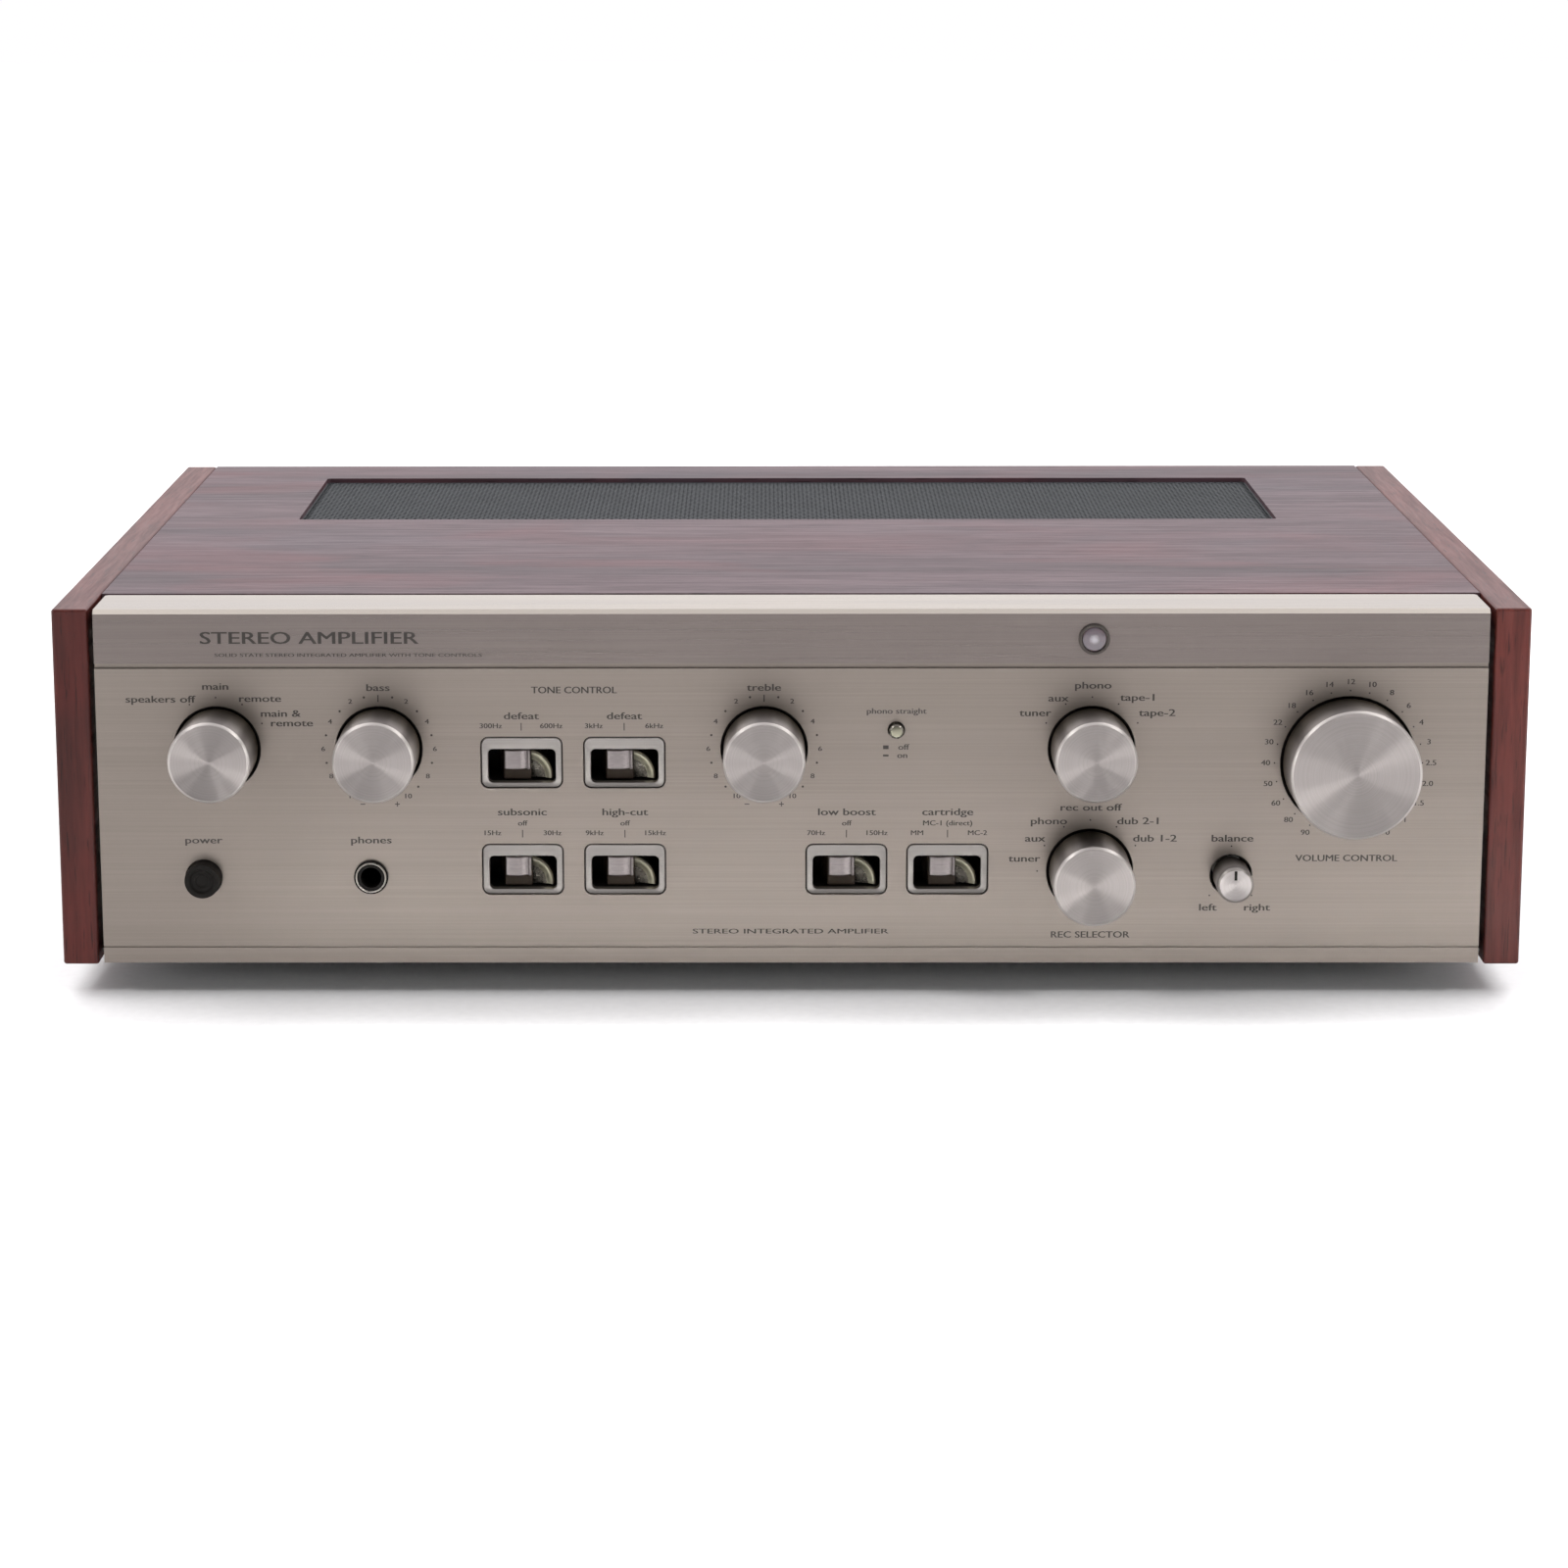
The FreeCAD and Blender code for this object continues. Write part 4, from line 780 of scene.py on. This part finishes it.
def make_rear_screws():
    """Pan-head screws round the rear panel, each with a flat dark cross on its head, a painted shade in
    place of a cross recess.
    """
    shape = bmesh.new()
    shaft, inward = 1.5, 7
    long_arm, short_arm = 1.6, 0.38
    for low, high in solids_of("rear_screws"):
        x, z = (low.x + high.x) / 2, (low.z + high.z) / 2
        radius = (high.x - low.x) / 2 / MM
        tall = (high.y - REAR_FACE) / MM
        lathe(shape, [(0, inward), (shaft, inward), (shaft, 0), (radius, 0), (radius, 0.8 - tall),
                      (radius - 0.4, 0.25 - tall), (radius - 1, 0.04 - tall), (0, 0.04 - tall)],
              48, 0, (x, REAR_FACE, z))
        # Painted shade: a thin dark cross lies on the flat head.
        for across, up in ((long_arm, short_arm), (short_arm, long_arm)):
            rounded_block(shape, (x - across * MM, high.y - 0.6 * MM, z - up * MM),
                          (x + across * MM, high.y - 0.01 * MM, z + up * MM), 0.12 * MM, 1, 2)
    new_piece("rear_screw_heads", shape, [ZINC, DARK_RECESS], "chassis", ["rear_screws"])


def make_binding_posts():
    """Fluted red and black caps on nickel stems, and the plain ground post."""
    shape = bmesh.new()
    posts = solids_of("binding_posts")
    stem, bore = 2, 2.05
    cap_start, cap_end = -3.2, 11.4
    for index, (low, high) in enumerate(posts):
        centre = ((low.x + high.x) / 2, REAR_FACE, (low.z + high.z) / 2)
        reach = (high.y - REAR_FACE) / MM
        radius = (high.x - low.x) / 2 / MM
        if index == len(posts) - 1:
            lathe(shape, [(0, 0), (radius, 0), (radius, -1), (radius - 1, -1),
                          (radius - 1, 0.6 - reach), (radius - 1.6, -reach), (0, -reach)],
                  96, 0, centre, 0.04)
            continue
        lathe(shape, [(0, 5), (stem, 5), (stem, 0.3 - reach), (stem - 0.4, -reach), (0, -reach)],
              48, 0, centre)
        lathe(shape, [(bore, cap_start), (radius, cap_start), (radius, 1.2 - cap_end),
                      (radius - 0.9, -cap_end), (radius - 1.4, -cap_end), (radius - 1.6, 0.4 - cap_end),
                      (bore, 0.4 - cap_end)],
              96, 1 + index % 2, centre, 0.07)
    new_piece("fluted_binding_posts", shape, [NICKEL, BLACK_PLASTIC, RED_PLASTIC], "chassis",
              ["binding_posts"])


def ease_rear_blocks():
    """Break the sharp edges of the moulded blocks on the back."""
    for node in ("outlet_block", "terminal_strips"):
        bevel = nodes[node].modifiers.new("eased_edges", "BEVEL")
        bevel.width = 0.5 * MM
        bevel.segments = 3
        bevel.limit_method = "ANGLE"
        bevel.angle_limit = math.radians(50)


# ---------------------------------------------------------------- printed lettering

def letters(name, words, face_y, material, towards_rear=False):
    """Print words on a flat face: each is text, middle x, middle z, height and stretch.

    Every word is struck twice, a little to each side, so that its thin strokes hold.
    """
    shape = bmesh.new()
    struck = [(*word, strike) for word in words for strike in (-1, 1)]
    for text, x, z, height, stretch, strike in struck:
        curve = bpy.data.curves.new("word", "FONT")
        curve.body = text
        curve.align_x = "CENTER"
        curve.align_y = "CENTER"
        curve.size = height * MM
        curve.resolution_u = 3
        curve.fill_mode = "FRONT"
        word = bpy.data.objects.new("word", curve)
        bpy.context.scene.collection.objects.link(word)
        bpy.context.view_layer.update()
        graph = bpy.context.evaluated_depsgraph_get()
        mesh = bpy.data.meshes.new_from_object(word.evaluated_get(graph))
        side = -1 if towards_rear else 1
        along = x + strike * STRIKE_STEP * height * MM
        depth = face_y + strike * STRIKE_DEPTH * MM
        turn = Matrix(((side * stretch, 0, 0, along), (0, 0, -side, depth), (0, 1, 0, z), (0, 0, 0, 1)))
        mesh.transform(turn)
        shape.from_mesh(mesh)
        bpy.data.objects.remove(word)
        bpy.data.curves.remove(curve)
        bpy.data.meshes.remove(mesh)
    new_piece(name, shape, [material])


def stamp(shape, x, z, points):
    """A flat printed shape on the front: points about its middle, in millimetres."""
    shape.faces.new([shape.verts.new((x + a * MM, INK_FACE, z + b * MM)) for a, b in points])


def disc(shape, x, z, radius, sides=12):
    """A small printed dot."""
    angles = [2 * math.pi * step / sides for step in range(sides)]
    stamp(shape, x, z, [(radius * math.cos(angle), radius * math.sin(angle)) for angle in angles])


def mark(shape, x, z, wide, tall):
    """A small printed bar."""
    a, b = wide / 2, tall / 2
    stamp(shape, x, z, ((-a, -b), (a, -b), (a, b), (-a, b)))


def around(node, offsets, height=WORD, stretch=STRETCH):
    """Words placed at offsets, in millimetres, from a part's middle."""
    middle = centre_of(node)
    return [(text, middle.x + right * MM, middle.z + up * MM, height, stretch)
            for text, right, up in offsets]


def dial_point(node, angle, radius):
    """A place on a dial: degrees clockwise from the top, radius in millimetres."""
    middle = centre_of(node)
    turn = math.radians(angle)
    return middle.x + radius * MM * math.sin(turn), middle.z + radius * MM * math.cos(turn)


def print_selectors():
    """Position names round the three selector knobs and the balance knob."""
    words = around("speakers_knob", (
        ("speakers off", -17.1, 15.6), ("main", 0, 19.6), ("remote", 13.6, 15.8),
        ("main &", 19.8, 11.1), ("remote", 23.2, 8.1)))
    words += around("input_knob", (
        ("tuner", -17.4, 11.2), ("aux", -10.4, 15.8), ("phono", 0.2, 19.8),
        ("tape-1", 14.2, 16.0), ("tape-2", 20.0, 11.2)))
    words += around("rec_knob", (
        ("tuner", -20.2, 3.9), ("aux", -17.0, 10.3), ("phono", -12.8, 15.8),
        ("rec out off", 0, 20.1), ("dub 2-1", 15.0, 15.8), ("dub 1-2", 20.0, 10.3)))
    words += around("rec_knob", (("REC SELECTOR", 0.4, -20.4),), 2.9, 1.25)
    words += around("balance_knob", (
        ("balance", 0.2, 11.6), ("left", -7.0, -10.4), ("right", 8.2, -10.4)))
    letters("selector_words", words, INK_FACE, INK)
    dots = bmesh.new()
    for name, angles in (("speakers", (-30, 0, 30, 60)), ("input", (-60, -30, 0, 30, 60)),
                         ("rec", (-90, -60, -30, 0, 30, 60)), ("balance", (-135, 0, 135))):
        radius = 9.2 if name == "balance" else 16.2
        for angle in angles:
            x, z = dial_point(f"{name}_knob", angle, radius)
            disc(dots, x, z, 0.26)
    new_piece("selector_dots", dots, [INK])


def print_tone_dials():
    """Numbers and dots round the bass and treble knobs: a tick at the top, minus and plus below."""
    words, dots = [], bmesh.new()
    for name in ("bass", "treble"):
        node = f"{name}_knob"
        words += around(node, ((name, 0, 19.2),))
        for side in (-1, 1):
            for step in range(1, 6):
                x, z = dial_point(node, side * 30 * step, 17.2)
                words.append((str(2 * step), x, z, 2.1, 1.25))
                x, z = dial_point(node, side * (30 * step - 15), 16.8)
                disc(dots, x, z, 0.36)
            x, z = dial_point(node, side * 163, 18.2)
            mark(dots, x, z, 1.5, 0.28)
            if side > 0:
                mark(dots, x, z, 0.28, 1.5)
        x, z = dial_point(node, 0, 15.9)
        mark(dots, x, z, 0.35, 2.2)
    letters("tone_dial_words", words, INK_FACE, INK)
    new_piece("tone_dial_marks", dots, [INK])


def print_volume_dial():
    """Twenty-one numbers round the volume knob, from silence to full."""
    numbers = ("90", "80", "60", "50", "40", "30", "22", "18", "16", "14", "12",
               "10", "8", "6", "4", "3", "2.5", "2.0", "1.5", "1", "0")
    words, dots = [], bmesh.new()
    first_angle, step_angle = -150, 15
    for index, number in enumerate(numbers):
        angle = first_angle + step_angle * index
        x, z = dial_point("volume_knob", angle, 25.4)
        words.append((number, x, z, 2.35, 1.2))
        x, z = dial_point("volume_knob", angle, 22.7)
        disc(dots, x, z, 0.25)
    words += around("volume_knob", (("VOLUME CONTROL", 0.2, -30.2),), 2.9, 1.2)
    letters("volume_dial_words", words, INK_FACE, INK)
    new_piece("volume_dial_marks", dots, [INK])


def print_lever_words():
    """The function, the middle position and the two side positions over each lever."""
    names = {
        "bass_turnover": ("defeat", None, "300Hz", "600Hz"),
        "treble_turnover": ("defeat", None, "3kHz", "6kHz"),
        "subsonic": ("subsonic", "off", "15Hz", "30Hz"),
        "high_cut": ("high-cut", "off", "9kHz", "15kHz"),
        "low_boost": ("low boost", "off", "70Hz", "150Hz"),
        "cartridge": ("cartridge", "MC-1 (direct)", "MM", "MC-2"),
    }
    words, marks = [], bmesh.new()
    side_line, middle_line, top_line = 11.5 * MM, 14.6 * MM, 18.1 * MM
    for name, (title, middle_word, left, right) in names.items():
        x, z = window_middle(name)
        words.append((title, x, z + (top_line if middle_word else middle_line), WORD, STRETCH))
        if middle_word:
            words.append((middle_word, x, z + middle_line, 2.3, 1.2))
        words.append((left, x - 9.4 * MM, z + side_line, 2.2, 1.2))
        words.append((right, x + 9.2 * MM, z + side_line, 2.2, 1.2))
        mark(marks, x, z + 11.3 * MM, 0.3, 2.4)
    left = centre_of("bass_turnover_lever").x
    right = centre_of("treble_turnover_lever").x
    heading_z = CASE_LOW + 87.4 * MM
    words.append(("TONE CONTROL", (left + right) / 2, heading_z, 3.0, 1.12))
    letters("lever_words", words, INK_FACE, INK)
    new_piece("lever_marks", marks, [INK])


def print_small_words():
    """Names of the buttons and the socket, and the plain lines in place of the maker's."""
    words = around("phono_button", (
        ("phono straight", 0, 5.9), ("off", 2.2, -5.4), ("on", 1.9, -8.0)), 2.5, 1.25)
    words += around("power_button", (("power", 0.2, 11.9),))
    words += around("headphone_nut", (("phones", 0.2, 11.6),))
    middle = centre_of("front_panel").x
    words.append(("STEREO INTEGRATED AMPLIFIER", middle, CASE_LOW + 11 * MM, 2.2, 1.9))
    rail_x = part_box("top_rail")[0].x
    words.append(("STEREO AMPLIFIER", rail_x + 66 * MM, CASE_LOW + 103.6 * MM, 5.4, 1.5))
    words.append(("SOLID STATE STEREO INTEGRATED AMPLIFIER WITH TONE CONTROLS",
                  rail_x + 78 * MM, CASE_LOW + 98.4 * MM, 1.5, 1.7))
    letters("small_words", words, INK_FACE, INK)
    shape = bmesh.new()
    button = centre_of("phono_button")
    for below, tall in ((5.4, 1.2), (8.0, 0.6)):
        mark(shape, button.x - 3.2 * MM, button.z - below * MM, 1.7, tall)
    new_piece("phono_marks", shape, [INK])


def print_rear_words():
    """Plain names beside the sockets, terminals and outlets on the back."""
    words = []
    plates_low, plates_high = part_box("jack_plates")
    sources = ("TAPE 2 OUT", "TAPE 2 IN", "TAPE 1 OUT", "TAPE 1 IN", "AUX", "TUNER",
               "PHONO 2", "PHONO 1")
    sleeves = solids_of("jack_sleeves")
    for index, name in enumerate(sources):
        low, high = sleeves[2 * index]
        words.append((name, (low.x + high.x) / 2, plates_high.z + 3 * MM, 2.0, 1.1))
    for row, name in enumerate(("R", "L")):
        low, high = sleeves[row]
        words.append((name, plates_low.x - 4 * MM, (low.z + high.z) / 2, 2.8, 1.1))
    *posts, ground = solids_of("binding_posts")
    words.append(("GND", (ground[0].x + ground[1].x) / 2, ground[1].z + 3.5 * MM, 2.2, 1.1))
    sign_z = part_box("terminal_strips")[0].z - 3 * MM
    for index, (low, high) in enumerate(posts):
        words.append(("-+"[index % 2], (low.x + high.x) / 2, sign_z, 3, 1.1))
    strips = solids_of("terminal_strips")
    for (low, high), name in zip(strips, ("SPEAKERS  REMOTE", "SPEAKERS  MAIN")):
        words.append((name, (low.x + high.x) / 2, high.z + 3.5 * MM, 2.4, 1.15))
    outlets_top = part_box("outlet_block")[1].z
    words.append(("AC OUTLETS", centre_of("outlet_block").x, outlets_top + 3.5 * MM, 2.4, 1.15))
    letters("rear_words", words, REAR_FACE + 0.03 * MM, PALE_INK, towards_rear=True)


# ---------------------------------------------------------------- studio

def lay_floor():
    """A wide sheet of pale paper under the feet."""
    finish = Finish("floor_paper", Roughness=0.6)
    fibre = finish.noise(finish.place, scale=300, detail=4)
    grey, white = (0.90, 0.90, 0.90), (0.94, 0.94, 0.94)
    finish.drive("Base Color", finish.ramp(fibre, ((0.3, grey), (0.7, white))))
    shape = bmesh.new()
    bmesh.ops.create_grid(shape, x_segments=1, y_segments=1, size=6)
    mesh = bpy.data.meshes.new("floor")
    shape.to_mesh(mesh)
    shape.free()
    mesh.materials.append(finish.material)
    floor = bpy.data.objects.new("floor", mesh)
    floor.location.z = cad_low.z
    bpy.context.scene.collection.objects.link(floor)


def light_room():
    """A room that is dim in front, bright behind and brighter again overhead."""
    world = bpy.data.worlds.new("studio")
    world.use_nodes = True
    tree = world.node_tree
    direction = tree.nodes.new("ShaderNodeTexCoord").outputs["Generated"]
    parts = tree.nodes.new("ShaderNodeSeparateXYZ")
    tree.links.new(direction, parts.inputs["Vector"])
    total = tree.nodes.new("ShaderNodeMath")
    fades = (("Y", -0.80, 0.20, 0.06, 1.03), ("Z", 0.45, 0.95, 0.0, 0.55))
    for index, (axis, start, end, dim, bright) in enumerate(fades):
        fade = tree.nodes.new("ShaderNodeMapRange")
        fade.interpolation_type = "SMOOTHSTEP"
        ends = {"From Min": start, "From Max": end, "To Min": dim, "To Max": bright}
        for socket, number in ends.items():
            fade.inputs[socket].default_value = number
        tree.links.new(parts.outputs[axis], fade.inputs["Value"])
        tree.links.new(fade.outputs["Result"], total.inputs[index])
    tree.links.new(total.outputs["Value"], tree.nodes["Background"].inputs["Strength"])
    tree.nodes["Background"].inputs["Color"].default_value = (0.99, 0.97, 1.0, 1)
    bpy.context.scene.world = world


def hang_lamps():
    """Soft boxes: place from the middle of the case, size, power, aim and beam in degrees.

    All look at the case, apart from two that whiten the floor behind it and in front of it.
    """
    middle = (cad_low + cad_high) / 2
    below = middle + Vector((0.18, -0.245, -1))
    behind = Vector((0, 3.4, 0))
    lamps = (
        ("overhead_left", (-0.8, 0.15, 1.35), (0.6, 0.9), 6, middle, 180),
        ("overhead_right", (0.8, 0.15, 1.35), (0.6, 0.9), 6, middle, 180),
        ("left_box", (-1.5, -1.1, 0.24), (0.6, 0.5), 8, middle, 180),
        ("right_box", (1.5, -1.1, 0.24), (0.6, 0.5), 9, middle, 180),
        ("front_left", (-1.15, -1.0, 1.25), (0.35, 0.35), 6, middle, 180),
        ("front_right", (1.15, -1.0, 1.25), (0.35, 0.35), 6, middle, 180),
        ("far_floor", (0, 2.6, 2.4), (4.0, 1.6), 90, behind, 180),
        ("near_floor", (0.18, -0.245, 0.45), (0.7, 0.05), 0.42, below, 14),
    )
    for name, offset, size, power, target, spread in lamps:
        light = bpy.data.lights.new(name, "AREA")
        light.shape = "RECTANGLE"
        light.size, light.size_y = size
        light.energy = power
        light.spread = math.radians(spread)
        lamp = bpy.data.objects.new(name, light)
        lamp.location = middle + Vector(offset)
        lamp.rotation_euler = (target - lamp.location).to_track_quat("-Z", "Y").to_euler()
        bpy.context.scene.collection.objects.link(lamp)


def set_camera():
    """The camera in front of the case, above it and slightly to its left."""
    data = bpy.data.cameras.new("camera")
    data.lens = 92.57
    data.sensor_width = 36
    data.shift_x = 0.0312
    data.shift_y = -0.0482
    data.clip_end = 30
    camera = bpy.data.objects.new("camera", data)
    place = Vector((-8.2 * MM, FRONT - 1212.65 * MM, CASE_LOW + 334.55 * MM))
    turn = (Matrix.Rotation(math.radians(0.417), 4, "Z")
            @ Matrix.Rotation(math.radians(90 - 11.791), 4, "X")
            @ Matrix.Rotation(math.radians(-0.116), 4, "Z"))
    camera.matrix_world = Matrix.Translation(place) @ turn
    bpy.context.scene.collection.objects.link(camera)
    bpy.context.scene.camera = camera
    bpy.context.scene.view_settings.view_transform = "Standard"


finish_packed_parts()
make_knobs()
make_balance_notch()
make_levers()
make_bezels()
make_buttons()
make_socket_nut()
make_lamp()
make_vent_mesh()
make_rear_screws()
make_binding_posts()
ease_rear_blocks()
print_selectors()
print_tone_dials()
print_volume_dial()
print_lever_words()
print_small_words()
print_rear_words()
lay_floor()
light_room()
hang_lamps()
set_camera()
